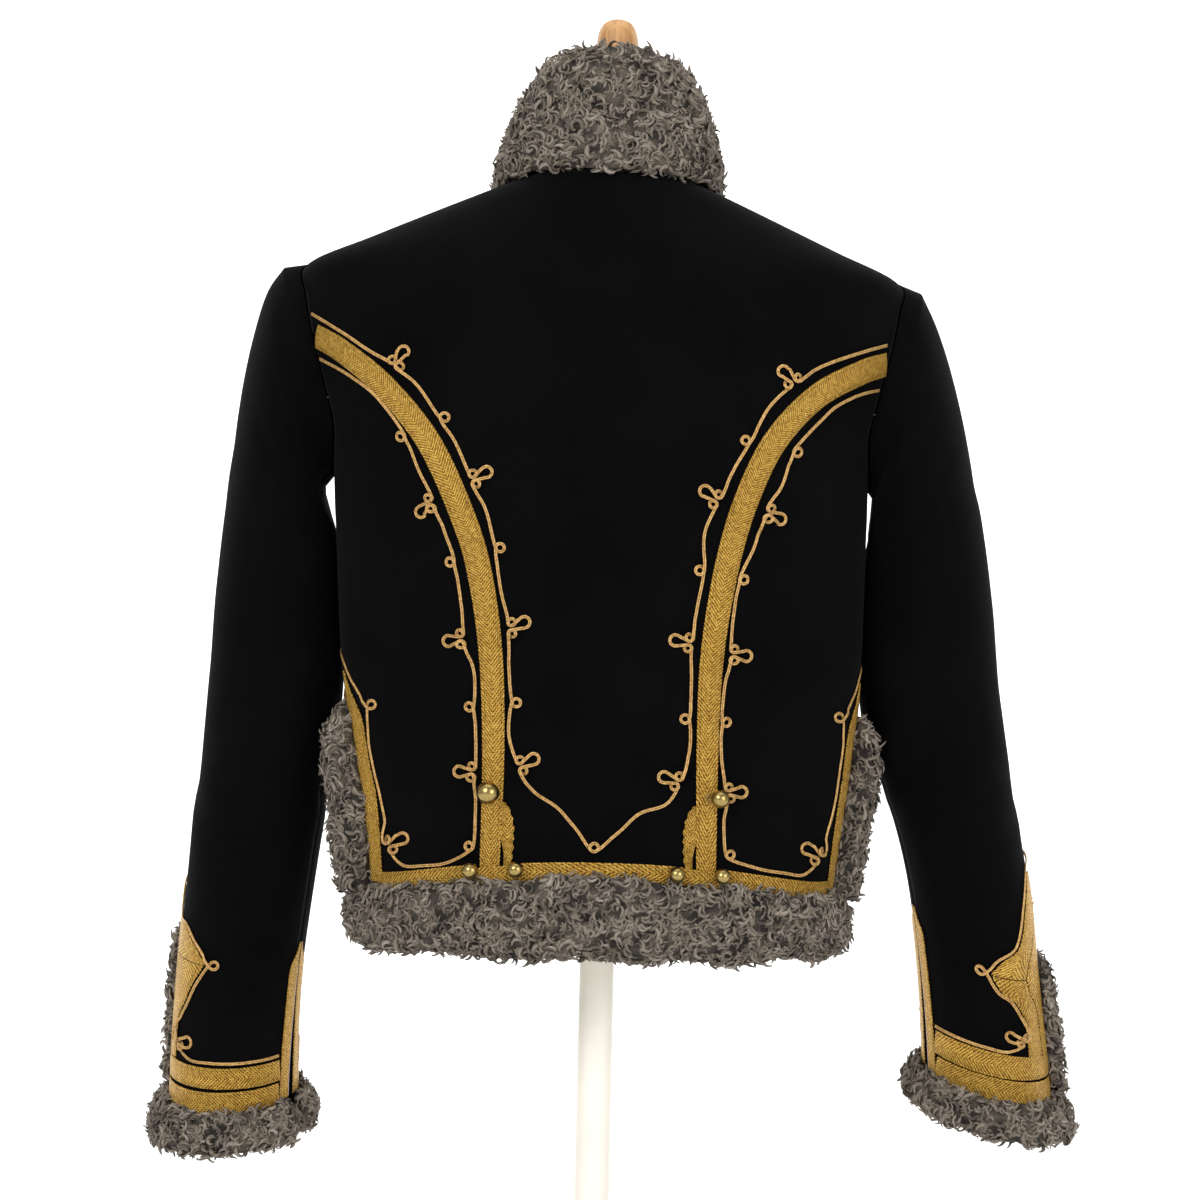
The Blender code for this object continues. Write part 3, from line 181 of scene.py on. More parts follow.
# Ball buttons on the back: name, x, height, radius
BALLS = (
    ("ball_top_left", -79, -140, 8.2),
    ("ball_top_right", 84, -141, 6.6),
    ("ball_hem_left_outer", -91, -197, 5.8),
    ("ball_hem_left_inner", -59, -195, 5.8),
    ("ball_hem_right_inner", 55, -196, 5.8),
    ("ball_hem_right_outer", 87, -197, 5.8),
)

# Sleeve sections from head to end. Each is seen from behind, as the place of its outer and its
# inner edge (distance from the middle, height), for the left and then for the right sleeve;
# then its y, its half depth and how far it leans forward in degrees.
SLEEVES = (
    ((246, 244), (212, 80), (232, 235), (199, 80), 3, 60, 0),
    ((258, 226), (211, 68), (244, 210), (198, 67), 4, 63, 0),
    ((267, 198), (208, 60), (255, 180), (197, 55), 8, 65, 0),
    ((275, 162), (204.3, 48), (266, 141), (195.6, 38), 13, 66, 0),
    ((282, 115), (200.8, 25), (276, 96), (193.6, 14), 18, 65, 0),
    ((288, 65), (198.9, -5), (285, 55), (193.1, -12), 22, 63, 0),
    ((294, 8), (196.6, -45), (293, 5), (192.6, -48), 26, 61, 4),
    ((298, -52), (198, -86), (300, -58), (197, -88), 31, 59, 8),
    ((303, -115), (205, -137), (310, -118), (209, -125), 37, 57, 11),
    ((310, -175), (212, -188), (320, -170), (222, -158), 43, 55, 12),
    ((315, -235), (219, -238), (329, -215), (233, -196), 49, 53, 12),
    ((319, -282), (224.5, -282), (335, -262), (241, -236), 55, 51, 12),
    ((322, -327), (227.5, -324), (341, -305), (247, -278), 61, 50, 12),
    ((324, -367), (229, -362), (346.5, -343), (251.5, -322), 67, 50, 12),
    ((325, -414), (229.5, -406), (352.5, -396), (255.5, -376), 74, 50, 12),
)
SLEEVE_ROWS = (0, 0.4, 1, 1.7, 2.4, 3.2, 4.2, 5.2, 6.2, 7.2, 8.4, 9.6, 11, 12.3, 13.6, 15)
SLEEVE_SEAT = 1.5          # how far the sleeve head is wider than the armhole
HEAD_CLEAR = 0.0018        # between the body and the sleeve head set on it
SLIT_HEIGHT = 118          # of the open hind seam above the cuff's fur
SLIT_GAP = 3.0             # half of the slit's opening at the sleeve's end
CUFF_FUR_HEIGHT = 27       # of cloth under the fur, at the sleeve's end
FORE_SEAM = -100           # degrees round the sleeve from its outer side, back is positive

# Name and side of the sleeve, turns of its hind seam and of the back edge of the outer fur strip,
# heights of the ogee's peak and tip
CUFFS = (
    ("left", -1, 157, -12, 112, 158),
    ("right", 1, 163, 10, 98, 176),
)
STRIP_WIDTH = 34           # of the sleeve's outer fur strip, in degrees round the sleeve
CUFF_ROWS_HEIGHT = 35      # two rows of lace
CUFF_PEAK_TURN = 72        # degrees from the strip to the ogee's peak
CUFF_FRONT_SHARE = 0.8     # the front half of the peaked lace is narrower
CUFF_TRACE_RADIUS = 48     # of the sleeve, where the cuff's cord is laid out flat
CUFF_UNIT = math.radians(1) * CUFF_TRACE_RADIUS    # mm of a cuff's girth for each degree of turn
SLIT_LACE_TURN = 11.5      # width of the slit's lace in degrees
POLE_RADIUS = 13
BASE_RADIUS = 160
BASE_THICKNESS = 22
FLOOR = -560               # height of the floor

SIDES = (("left", -1), ("right", 1))
PANEL_UV = (400, 500)      # of the cloth's texture map, in mm
LACE_WALL = 0.0009         # thickness of the lace
LACE_TOOTH = 3.6           # from one tooth of a lace's edge to the next
PEAK_TOOTH = 3.4
PEAK_CLEAR = 4.3           # degrees between the peaked lace and the cord
PEAK_LEAST = 3.0           # narrowest peaked lace in degrees
BACK_LACE_LENGTH = 470
HEM_LACE_UNIT = 2.05       # mm of the hem's lace for each degree of turn
LACE_UNDER_FUR = 5.0       # width of the hem lace that lies under the fleece
HIP_LACE_FOOT = -211
HIP_LACE_LENGTH = 154
CORD_RADIUS = 0.0006       # of each of the tracing braid's two ridges
CUFF_LACE_UNIT = 0.84      # mm of a cuff's lace for each degree of turn
CURL_STEPS = 5             # segments along a fleece curl
FLEECE_GRAIN = 70          # clumps of the fleece in a metre


def signed_power(value, power):
    """A power that keeps the sign."""
    return math.copysign(abs(value) ** power, value)


def ease(value):
    """0 below 0, 1 above 1 and a smooth change between."""
    held = min(1, max(0, value))
    return held * held * (3 - 2 * held)


def blend(rows, at):
    """The other columns of a table at a place in its first column, on smooth curves."""
    at = min(rows[-1][0], max(rows[0][0], at))
    last = len(rows) - 2
    k = next((i for i in range(last) if at <= rows[i + 1][0]), last)
    before, low, high, after = rows[max(k - 1, 0)], rows[k], rows[k + 1], rows[min(k + 2, last + 1)]
    span = high[0] - low[0]
    t = (at - low[0]) / span
    made = []
    for c in range(1, len(low)):
        slope_low = (high[c] - before[c]) / (high[0] - before[0]) * span
        slope_high = (after[c] - low[c]) / (after[0] - low[0]) * span
        made.append((2 * t ** 3 - 3 * t ** 2 + 1) * low[c] + (t ** 3 - 2 * t ** 2 + t) * slope_low
                    + (3 * t ** 2 - 2 * t ** 3) * high[c] + (t ** 3 - t ** 2) * slope_high)
    return made


def hang_share(height):
    """How much of the shoulders' sideways hang a height takes part in."""
    return ease((height + 200) / 440) * (1 - ease((height - 250) / 150))


def hang(x, y, height):
    """World place of a garment place given in millimetres from the waist level."""
    share = hang_share(height)
    return Vector(((x + SIDEWAYS_HANG * share) * MM, y * MM,
                   WAIST_LEVEL + (height - TILT * share * x) * MM))


def body_plain(turn, height):
    """Outer face of the body. Turn is in degrees: 0 centre back, 90 right side."""
    width, back, front = blend(BODY, height)
    angle = math.radians(turn)
    power = 2 / SQUARE
    depth = back if math.cos(angle) > 0 else front
    neck = (NECK_BACK_RISE * max(0, math.cos(angle)) - NECK_FRONT_DROP * max(0, -math.cos(angle)) ** 1.5)
    return hang(width * signed_power(math.sin(angle), power),
                -depth * signed_power(math.cos(angle), power),
                height + neck * ease((height - 200) / (NECKLINE - 200)))


def body(turn, height, lift=0.0):
    """Body surface, lifted along its normal."""
    place = body_plain(turn, height)
    if lift:
        across = body_plain(turn + 0.05, height) - body_plain(turn - 0.05, height)
        up = body_plain(turn, height + 0.05) - body_plain(turn, height - 0.05)
        place = place + across.cross(up).normalized() * lift
    return place


def normal_of(surface, u, v):
    """Unit direction in which a surface lifts."""
    return (surface(u, v, MM) - surface(u, v)).normalized()


def turn_at_x(x, height):
    """Turn on the back where the body is at x."""
    width = blend(BODY, height)[0]
    share = min(0.9999, abs(x) / width)
    return math.copysign(math.degrees(math.asin(share ** (SQUARE / 2))), x)


def turn_at_y(y, height):
    """Turn on the right half where the body is at y."""
    depth = blend(BODY, height)[1 if y < 0 else 2]
    share = min(1, abs(y) / depth) ** (SQUARE / 2)
    return math.degrees(math.acos(math.copysign(share, -y)))


def on_back(x, height):
    """Surface place, as turn and height, of a place measured straight on from behind."""
    share = hang_share(height)
    level = height + TILT * share * x
    return turn_at_x(x - SIDEWAYS_HANG * share, level), level


def side_y(height, front):
    """Y of the side seam, and above the underarm of the armhole's edge."""
    if height <= UNDERARM or height >= SHOULDER:
        return ARM_MID_Y
    rise = (height - ARM_MID) / ARM_HALF_HEIGHT
    half = ARM_HALF_DEPTH * math.sqrt(max(0, 1 - rise * rise))
    return ARM_MID_Y + (half if front else -half)


def lace_rows(side):
    """Back lace on one side, as tables of its row number."""
    first = 0 if side < 0 else 2
    return tuple((i, row[first], row[first + 1], row[4]) for i, row in enumerate(BACK_LACE))


def seam_turn(side, height):
    """Turn of the back seam at a height, or None above the armhole's edge."""
    rows = lace_rows(side)
    steps = 160
    last = None
    for i in range(steps + 1):
        x, level, _ = blend(rows, (len(rows) - 1) * i / steps)
        turn, level = on_back(x, level)
        if level <= height:
            return last
        last = turn
    return last


def seam_step(height):
    """Half a seam's space as degrees of turn."""
    width = blend(BODY, height)[0]
    return math.degrees(SEAM / 2 / (width * MM * 0.6))


def back_edges(height):
    """Left and right edge of the back panel."""
    edges = []
    for side in (-1, 1):
        turn = seam_turn(side, height)
        armhole = turn_at_y(side_y(height, False), height)
        if turn is None or abs(turn) > armhole:
            turn = side * armhole
        edges.append(turn - side * seam_step(height))
    return edges


def side_edges(side):
    """Edges of a side body, from the back seam to the side seam and armhole."""
    def edges(height):
        seam = seam_turn(side, height)
        armhole = side * turn_at_y(side_y(height, False), height)
        step = side * seam_step(height)
        return sorted((seam + step, armhole - step), key=abs)
    return edges


def side_top(side):
    """Height where the back seam runs out at the armhole, less a small point of cloth."""
    height = SHOULDER - 30
    while abs(seam_turn(side, height) or 999) > turn_at_y(side_y(height, False), height) - 1.2:
        height -= 0.5
    return height


def front_edges(side):
    """Edges of a front, from side seam, armhole and shoulder to the centre front."""
    def edges(height):
        step = seam_step(height)
        first = turn_at_y(side_y(height, True), height) + step
        centre = 180 - turn_at_x(0.4, height)
        return side * first, side * centre
    return edges


def sleeve_side(side):
    """Sleeve sections of one side as a table of their row number."""
    first = 0 if side < 0 else 2
    rows = []
    for i, row in enumerate(SLEEVES):
        outer, inner = row[first], row[first + 1]
        rows.append((i + 1, side * outer[0], outer[1], side * inner[0], inner[1], row[4], row[5], row[6]))
    return tuple(rows)


SLEEVE_TABLES = {side: sleeve_side(side) for side in (-1, 1)}


def sleeve_section(side, turn, along, lift):
    """Place on a sleeve's oval section. Turn 0 is its outer edge and 90 its back."""
    ox, oz, ix, iz, y, half_depth, lean = blend(SLEEVE_TABLES[side], along)
    outer, inner = Vector((ox, y, oz)), Vector((ix, y, iz))
    middle = (outer + inner) / 2
    half = (outer - inner) / 2
    grow = lift / MM
    half = half.normalized() * (half.length + grow)
    lean = math.radians(lean)
    back = Vector((0, -math.cos(lean), -math.sin(lean))) * (half_depth + grow)
    angle = math.radians(turn)
    place = middle + half * math.cos(angle) + back * math.sin(angle)
    return Vector((place.x * MM, place.y * MM, WAIST_LEVEL + place.z * MM))


def sleeve_head(side, turn, lift):
    """Place where the sleeve is set on the body, round the armhole."""
    angle = math.radians(turn)
    grow = SLEEVE_SEAT + lift / MM
    y = ARM_MID_Y - (ARM_HALF_DEPTH + grow) * math.sin(angle)
    height = ARM_MID + (ARM_HALF_HEIGHT + grow) * math.cos(angle)
    place = body(side * turn_at_y(y, height), height)
    return place + Vector((side * HEAD_CLEAR, 0, 0))


def sleeve(side, turn, along, lift=0.0):
    """Sleeve surface: along is 0 at the armhole and the number of sections at its end."""
    if along >= 1:
        return sleeve_section(side, turn, along, lift)
    share = ease(along) * 0.5 + along * 0.5
    return sleeve_head(side, turn, lift).lerp(sleeve_section(side, turn, 1, lift), share)


def sleeve_lengths(side):
    """Distance in millimetres from each section's middle to the sleeve's end."""
    lengths = [0.0]
    for i in range(len(SLEEVES), 1, -1):
        step = sleeve_middle(side, i) - sleeve_middle(side, i - 1)
        lengths.append(lengths[-1] + step.length / MM)
    return lengths


def sleeve_middle(side, along):
    """Middle of the sleeve at a place along it."""
    return (sleeve_section(side, 0, along, 0) + sleeve_section(side, 180, along, 0)) / 2


SLEEVE_LENGTHS = {side: sleeve_lengths(side) for side in (-1, 1)}


def along_at(side, height):
    """Place along the sleeve, a height in millimetres above the top of the cuff's fur."""
    wanted = height + CUFF_FUR_HEIGHT
    lengths = SLEEVE_LENGTHS[side]
    for i in range(len(lengths) - 1):
        if wanted <= lengths[i + 1] or i == len(lengths) - 2:
            share = (wanted - lengths[i]) / (lengths[i + 1] - lengths[i])
            return len(SLEEVES) - i - share
    return 1


def slit_open(height):
    """Half of the slit's opening in degrees at a height above the cuff's fur."""
    return 0.2 + math.degrees(SLIT_GAP / CUFF_TRACE_RADIUS) * ease(1 - height / SLIT_HEIGHT)


def slide(surface, u, v, step):
    """Place on a surface after a small move, given as a vector."""
    across = (surface(u + 0.05, v) - surface(u - 0.05, v)) / 0.1
    up = (surface(u, v + 0.05) - surface(u, v - 0.05)) / 0.1
    aa, ab, bb = across.dot(across), across.dot(up), up.dot(up)
    sa, sb = step.dot(across), step.dot(up)
    scale = aa * bb - ab * ab
    return u + (sa * bb - sb * ab) / scale, v + (sb * aa - sa * ab) / scale


def left_of(direction):
    """The flat direction a quarter turn to the left."""
    return np.array((-direction[1], direction[0]))


def heading(a, b):
    """Flat direction from one point to another."""
    step = b - a
    return step / max(1e-9, math.hypot(*step))


def arc(centre, radius, start, sweep, count):
    """Points round a circle from a start angle, without the first."""
    angles = [start + sweep * i / count for i in range(1, count + 1)]
    return [centre + radius * np.array((math.cos(angle), math.sin(angle))) for angle in angles]


def eyelet(centre, come, go, hand, fine):
    """A full turn beside the line: where it starts, its points and where it ends."""
    start = centre - hand * EYELET_RADIUS * left_of(come)
    start_angle = math.atan2(*(start - centre)[::-1])
    bend = math.atan2(come[0] * go[1] - come[1] * go[0], come.dot(go))
    sweep = hand * (2 * math.pi) + bend
    count = round(6 * fine * abs(sweep) / (2 * math.pi))
    return start, arc(centre, EYELET_RADIUS, start_angle, sweep, count)


def trefoil(middle, ahead, hand, lean, fine):
    """Small loop, long petal and small loop, all on one side of the line."""
    side = hand * left_of(ahead)
    foot = middle - side * LOOP_RADIUS
    first = foot - ahead * LOOP_APART + side * LOOP_RADIUS
    second = foot + ahead * LOOP_APART + side * LOOP_RADIUS
    start = foot - ahead * LOOP_APART
    start_angle = math.atan2(*(start - first)[::-1])
    points = arc(first, LOOP_RADIUS, start_angle, hand * 2.5 * math.pi, round(6 * fine))
    tilt = hand * math.radians(lean)
    axis = side * math.cos(tilt) - ahead * math.sin(math.radians(lean))
    base = foot + side * LOOP_RADIUS
    sweep = math.radians(PETAL_SWEEP)
    round_start = math.atan2(axis[1], axis[0]) + hand * sweep / 2
    middle = base + axis * PETAL_REACH
    points.append(middle + PETAL_RADIUS * np.array((math.cos(round_start), math.sin(round_start))))
    points.extend(arc(middle, PETAL_RADIUS, round_start, -hand * sweep, round(6 * fine)))
    entry = second - ahead * LOOP_RADIUS
    points.append(entry)
    entry_angle = math.atan2(*(entry - second)[::-1])
    points.extend(arc(second, LOOP_RADIUS, entry_angle, hand * 2.5 * math.pi, round(6 * fine)))
    return start, points


def route(knotted, hand, fine=1, stride=15):
    """Flat points of a cord through its knots; hand 1 puts its loops on the left."""
    spots = [np.array(knot[1:3], dtype=float) for knot in knotted]
    path = []
    leave, leave_way = None, None
    for i, (kind, _, _, lean) in enumerate(knotted):
        before = spots[max(i - 1, 0)]
        after = spots[min(i + 1, len(spots) - 1)]
        come = heading(before, spots[i]) if i else heading(spots[i], after)
        go = heading(spots[i], after) if i < len(spots) - 1 else come
        ahead = heading(before, after)
        if kind == "eyelet":
            start, made = eyelet(spots[i], come, go, hand, fine)
        elif kind == "trefoil":
            start, made = trefoil(spots[i], ahead, hand, lean, fine)
            come = go = ahead
        else:
            start, made = spots[i], []
            come = go = ahead
        if leave is not None:
            span = math.hypot(*(start - leave))
            count = max(1, round(span * fine / stride))
            for j in range(1, count + 1):
                t = j / count
                first = (2 * t ** 3 - 3 * t ** 2 + 1) * leave + (t ** 3 - 2 * t ** 2 + t) * leave_way * span
                last = (3 * t ** 2 - 2 * t ** 3) * start + (t ** 3 - t ** 2) * come * span
                path.append(first + last)
        else:
            path.append(start)
        path.extend(made)
        leave, leave_way = path[-1], go
    return path


def stacked(points):
    """Lifts that carry a cord over its own earlier turns."""
    fine, owner = [], []
    for i in range(len(points) - 1):
        count = max(1, math.ceil((points[i + 1] - points[i]).length / 0.0007))
        for j in range(count):
            fine.append(points[i].lerp(points[i + 1], j / count))
            owner.append(i)
    spots = np.array(fine)
    steps = np.linalg.norm(np.diff(spots, axis=0), axis=1)
    arcs = np.concatenate(((0.0,), np.cumsum(steps)))
    lifts = np.zeros(len(spots))
    reach = CORD_WIDTH + 0.0003
    for j in range(1, len(spots)):
        lifts[j] = max(0.0, lifts[j - 1] - CORD_SLOPE * (arcs[j] - arcs[j - 1]))
        earlier = arcs[:j] < arcs[j] - 0.0048
        near = earlier & (np.linalg.norm(spots[:j] - spots[j], axis=1) < reach)
        if near.any():
            lifts[j] = max(lifts[j], lifts[:j][near].max() + CORD_RISE)
            back = j - 1
            while back > 0 and lifts[back] < lifts[j] - CORD_SLOPE * (arcs[j] - arcs[back]):
                lifts[back] = lifts[j] - CORD_SLOPE * (arcs[j] - arcs[back])
                back -= 1
    made = [0.0] * len(points)
    for i, lift in zip(owner, lifts):
        made[i] = max(made[i], lift)
        made[i + 1] = max(made[i + 1], lift)
    return made


def hip_front(side, outer):
    """The plain front half of a hip's tracing, its back half turned over about the fur strip."""
    plain = tuple(("run", x, height, 0) for _, x, height, _ in outer[HIP_KNOTS:])
    places = []
    for spot in reversed(route(plain, side)):
        turn, height = on_back(*spot)
        back, front = hip_fur_edges(side, height)
        places.append((front + back - turn, height))
    return places


def hip_lace_edge(side, height):
    """Turn of the hip lace's inner edge on the back."""
    left, right = blend(HIP_LACE, height)
    return on_back(side * (left if side < 0 else right), height)[0]


def hip_fur_edges(side, height):
    """Turns of the hip fur's back and front edge."""
    back = hip_lace_edge(side, height) + side * (HIP_LACE_TURN + 0.4)
    return back, back + side * blend(HIP_FUR_WIDTH, height)[0]


def fur_line(turn):
    """Upper edge of the hem's fur where nothing presses it down."""
    return -205.5 + 8 * math.cos(math.radians(2.6 * min(abs(turn), 70)))


def collar_plain(turn, level):
    """Outer face of the stand collar."""
    seam = body_plain(turn, NECKLINE)
    angle = math.radians(turn)
    back = max(0, math.cos(angle))
    rise = COLLAR_HEIGHT_FRONT + (COLLAR_HEIGHT_BACK - COLLAR_HEIGHT_FRONT) * (0.5 + 0.5 * math.cos(angle))
    depth = COLLAR_TOP_BACK if back else COLLAR_TOP_FRONT
    base_height = (seam.z - WAIST_LEVEL) / MM
    top = hang(COLLAR_TOP_WIDTH * math.sin(angle), -depth * math.cos(angle) + 4, base_height + rise)
    bulge = 1.5 * MM * math.sin(math.pi * min(1, max(0, level)))
    place = seam.lerp(top, level)
    return place + Vector((math.sin(angle), -math.cos(angle), 0)) * bulge


def collar(turn, level, lift=0.0):
    """Outer face of the stand collar, lifted along its normal."""
    place = collar_plain(turn, level)
    if lift:
        across = collar_plain(turn + 0.5, level) - collar_plain(turn - 0.5, level)
        up = collar_plain(turn, level + 0.02) - collar_plain(turn, level - 0.02)
        place = place + across.cross(up).normalized() * lift
    return place


def cuff_sides(hind, strip_edge):
    """Each half of the cuff's lace: its name, its way round, and its first and last turn."""
    return (("back", 1, strip_edge + 1.2, hind - slit_open(0) - 13.5),
            ("front", -1, strip_edge - STRIP_WIDTH - 1.2, hind - 360 + slit_open(0) + 13.5))


def cord_line(knotted, hand):
    """Flat points of a cord, close enough together for the looks."""
    return route(knotted, hand, fine=2.6, stride=8)


def cuff_cord(hind, strip_edge, peak, tip):
    """Turns and heights of the cord above the cuff's lace, up to the tip and down the front."""
    over = CUFF_ROWS_HEIGHT + 3.2
    front_edge = strip_edge - STRIP_WIDTH
    back = (
        (hind - 19, over), (hind - 45, over), (strip_edge + 82, over),
        (strip_edge + 60, over + 0.8), ("trefoil", strip_edge + 47.5, over + 12),
        (strip_edge + 44.5, over + 27), (strip_edge + 54.5, over + 42),
        (strip_edge + 66, peak - 13), ("eyelet", strip_edge + CUFF_PEAK_TURN + 10, peak + 2),
        (strip_edge + 62, peak + 14), (strip_edge + 42, peak + 26),
        (strip_edge + 24, tip - 18), (strip_edge + 4, tip + 5),
    )
    front = (
        (front_edge - 6, tip + 4), (front_edge - 21, tip - 18),
        (front_edge - 36, peak + 25), (front_edge - 50, peak + 14),
        ("eyelet", front_edge - CUFF_PEAK_TURN * CUFF_FRONT_SHARE - 10, peak + 2),
        (front_edge - 54, peak - 13), (front_edge - 45, over + 42),
        (front_edge - 37, over + 27), (front_edge - 36, over + 12),
        (front_edge - 46, over + 1), (front_edge - 62, over), (hind - 360 + 45, over),
        (hind - 360 + 19, over),
    )
    flat = tuple((kind, turn * CUFF_UNIT, height, 20) for kind, turn, height, _ in knots(*back, *front))
    return [(x / CUFF_UNIT, height) for x, height in cord_line(flat, -1)]


def gauss(value, width):
    """A bell of height 1."""
    return math.exp(-(value / width) ** 2)


def body_folds(turn, height):
    """Soft drape of the body in metres: shallow troughs at the waist and from the armholes."""
    side = abs(turn)
    waist = 0.9 * math.sin(0.105 * side + 0.9) * gauss(height + 70, 110)
    pull = -1.5 * gauss(height - 62 - (side - 62) * 0.9, 11) * gauss(side - 52, 22)
    pull += 1.1 * gauss(height - 38 - (side - 62) * 0.8, 12) * gauss(side - 50, 20)
    chest = -1.3 * gauss(height - 70 + (side - 122) * 0.8, 12) * gauss(side - 132, 20)
    blade = -0.8 * gauss(height - 175 + side * 0.5, 22) * gauss(side - 20, 26)
    return (waist + pull + chest + blade) * MM * ease((232 - height) / 30)


# Creases of the sleeves: turn and place along the sleeve of the middle, slope, width, depth in mm
SLEEVE_CREASES = (
    (95, 4.6, 0.010, 0.20, -1.5), (70, 6.3, -0.008, 0.24, -1.7), (120, 7.6, 0.010, 0.22, -2.0),
    (60, 8.5, -0.012, 0.20, -1.8), (140, 9.0, 0.008, 0.20, -1.6), (-60, 7.2, 0.012, 0.24, -2.2),
    (-90, 8.2, -0.010, 0.20, -2.4), (-70, 9.0, 0.012, 0.18, -2.2), (180, 3.4, 0.006, 0.22, -1.2),
    (-30, 5.4, -0.008, 0.26, -1.4), (20, 9.6, 0.010, 0.22, -1.2),
)


def sleeve_folds(turn, along):
    """Creases of a sleeve in metres, each with a shallower one beside it."""
    depth = 0.0
    for middle, place, slope, width, size in SLEEVE_CREASES:
        away = (turn - middle + 180) % 360 - 180
        past = along - place - slope * away
        depth += size * gauss(past, width) * gauss(away, 42)
        depth -= size * 0.55 * gauss(past - 1.9 * width, width) * gauss(away, 40)
    return depth * MM * ease(along - 1.2) * ease((10.6 - along) / 0.8)


def cloth_body(turn, height, lift=0.0):
    """Body surface with its folds."""
    return body(turn, height, lift + body_folds(turn, height))


def cloth_sleeve(side, turn, along, lift=0.0):
    """Sleeve surface with its creases."""
    return sleeve(side, turn, along, lift + sleeve_folds(turn, along))


def spread(rows, share):
    """A place in a row list, by share of its length in rows."""
    at = share * (len(rows) - 1)
    i = min(len(rows) - 2, int(at))
    return rows[i] + (rows[i + 1] - rows[i]) * (at - i)


def colour(code):
    """Linear colour of an sRGB hex code."""
    parts = [int(code[i:i + 2], 16) / 255 for i in (1, 3, 5)]
    return [c / 12.92 if c <= 0.04045 else ((c + 0.055) / 1.055) ** 2.4 for c in parts] + [1.0]


def add(tree, kind, settings=(), **links):
    """A node with its settings. Links name an input, or i0, i1 ... and give it a value or an output."""
    made = tree.nodes.new(kind)
    for name, value in dict(settings).items():
        setattr(made, name, value)
    for name, value in links.items():
        key = int(name[1:]) if name[0] == "i" and name[1:].isdigit() else name.replace("_", " ")
        if isinstance(value, bpy.types.NodeSocket):
            tree.links.new(value, made.inputs[key])
        else:
            made.inputs[key].default_value = value
    return made


def calc(tree, kind, *values):
    """Result of a Math node on numbers or outputs."""
    links = {f"i{i}": value for i, value in enumerate(values)}
    return add(tree, "ShaderNodeMath", {"operation": kind}, **links).outputs[0]


def on_object(tree):
    """Place on the object."""
    return add(tree, "ShaderNodeTexCoord").outputs["Object"]


def cloudy(tree, place, scale, detail):
    """Noise at a place."""
    return add(tree, "ShaderNodeTexNoise", Vector=place, Scale=scale, Detail=detail).outputs[0]


def attribute(tree, name, socket="Fac"):
    """A mesh attribute."""
    return add(tree, "ShaderNodeAttribute", {"attribute_name": name}).outputs[socket]


def surfaced(tree, shader, tint, height, strength, distance):
    """Gives a shader its colour and relief."""
    tree.links.new(tint, shader.inputs["Base Color"])
    bump = add(tree, "ShaderNodeBump", Height=height, Strength=strength, Distance=distance)
    tree.links.new(bump.outputs[0], shader.inputs["Normal"])


def new_material(name, **sockets):
    """A material with its tree and its shader."""
    made = bpy.data.materials.new(name)
    made.use_nodes = True
    shader = made.node_tree.nodes["Principled BSDF"]
    for key, value in sockets.items():
        shader.inputs[key.replace("_", " ")].default_value = value
    return made, made.node_tree, shader


def ramp(tree, factor, stops):
    """Colours by factor."""
    made = add(tree, "ShaderNodeValToRGB", Fac=factor)
    points = made.color_ramp.elements
    while len(points) < len(stops):
        points.new(0.5)
    for point, (place, code) in zip(points, stops):
        point.position = place
        point.color = colour(code)
    return made.outputs["Color"]


def wool_material(code):
    # Black broadcloth: fulled and raised wool, so no threads show, only a soft nap and a dull
    # sheen where the cloth turns away from the eye.
    made, tree, shader = new_material("black_wool_broadcloth", Roughness=0.95, Sheen_Weight=0.012,
                                      Sheen_Roughness=0.5, Specular_IOR_Level=0.04)
    place = on_object(tree)
    tint = ramp(tree, cloudy(tree, place, 14.0, 3.0), ((0.3, "#030304"), (0.7, code)))
    surfaced(tree, shader, tint, cloudy(tree, place, 900.0, 2.0), 0.25, 0.0004)
    return made


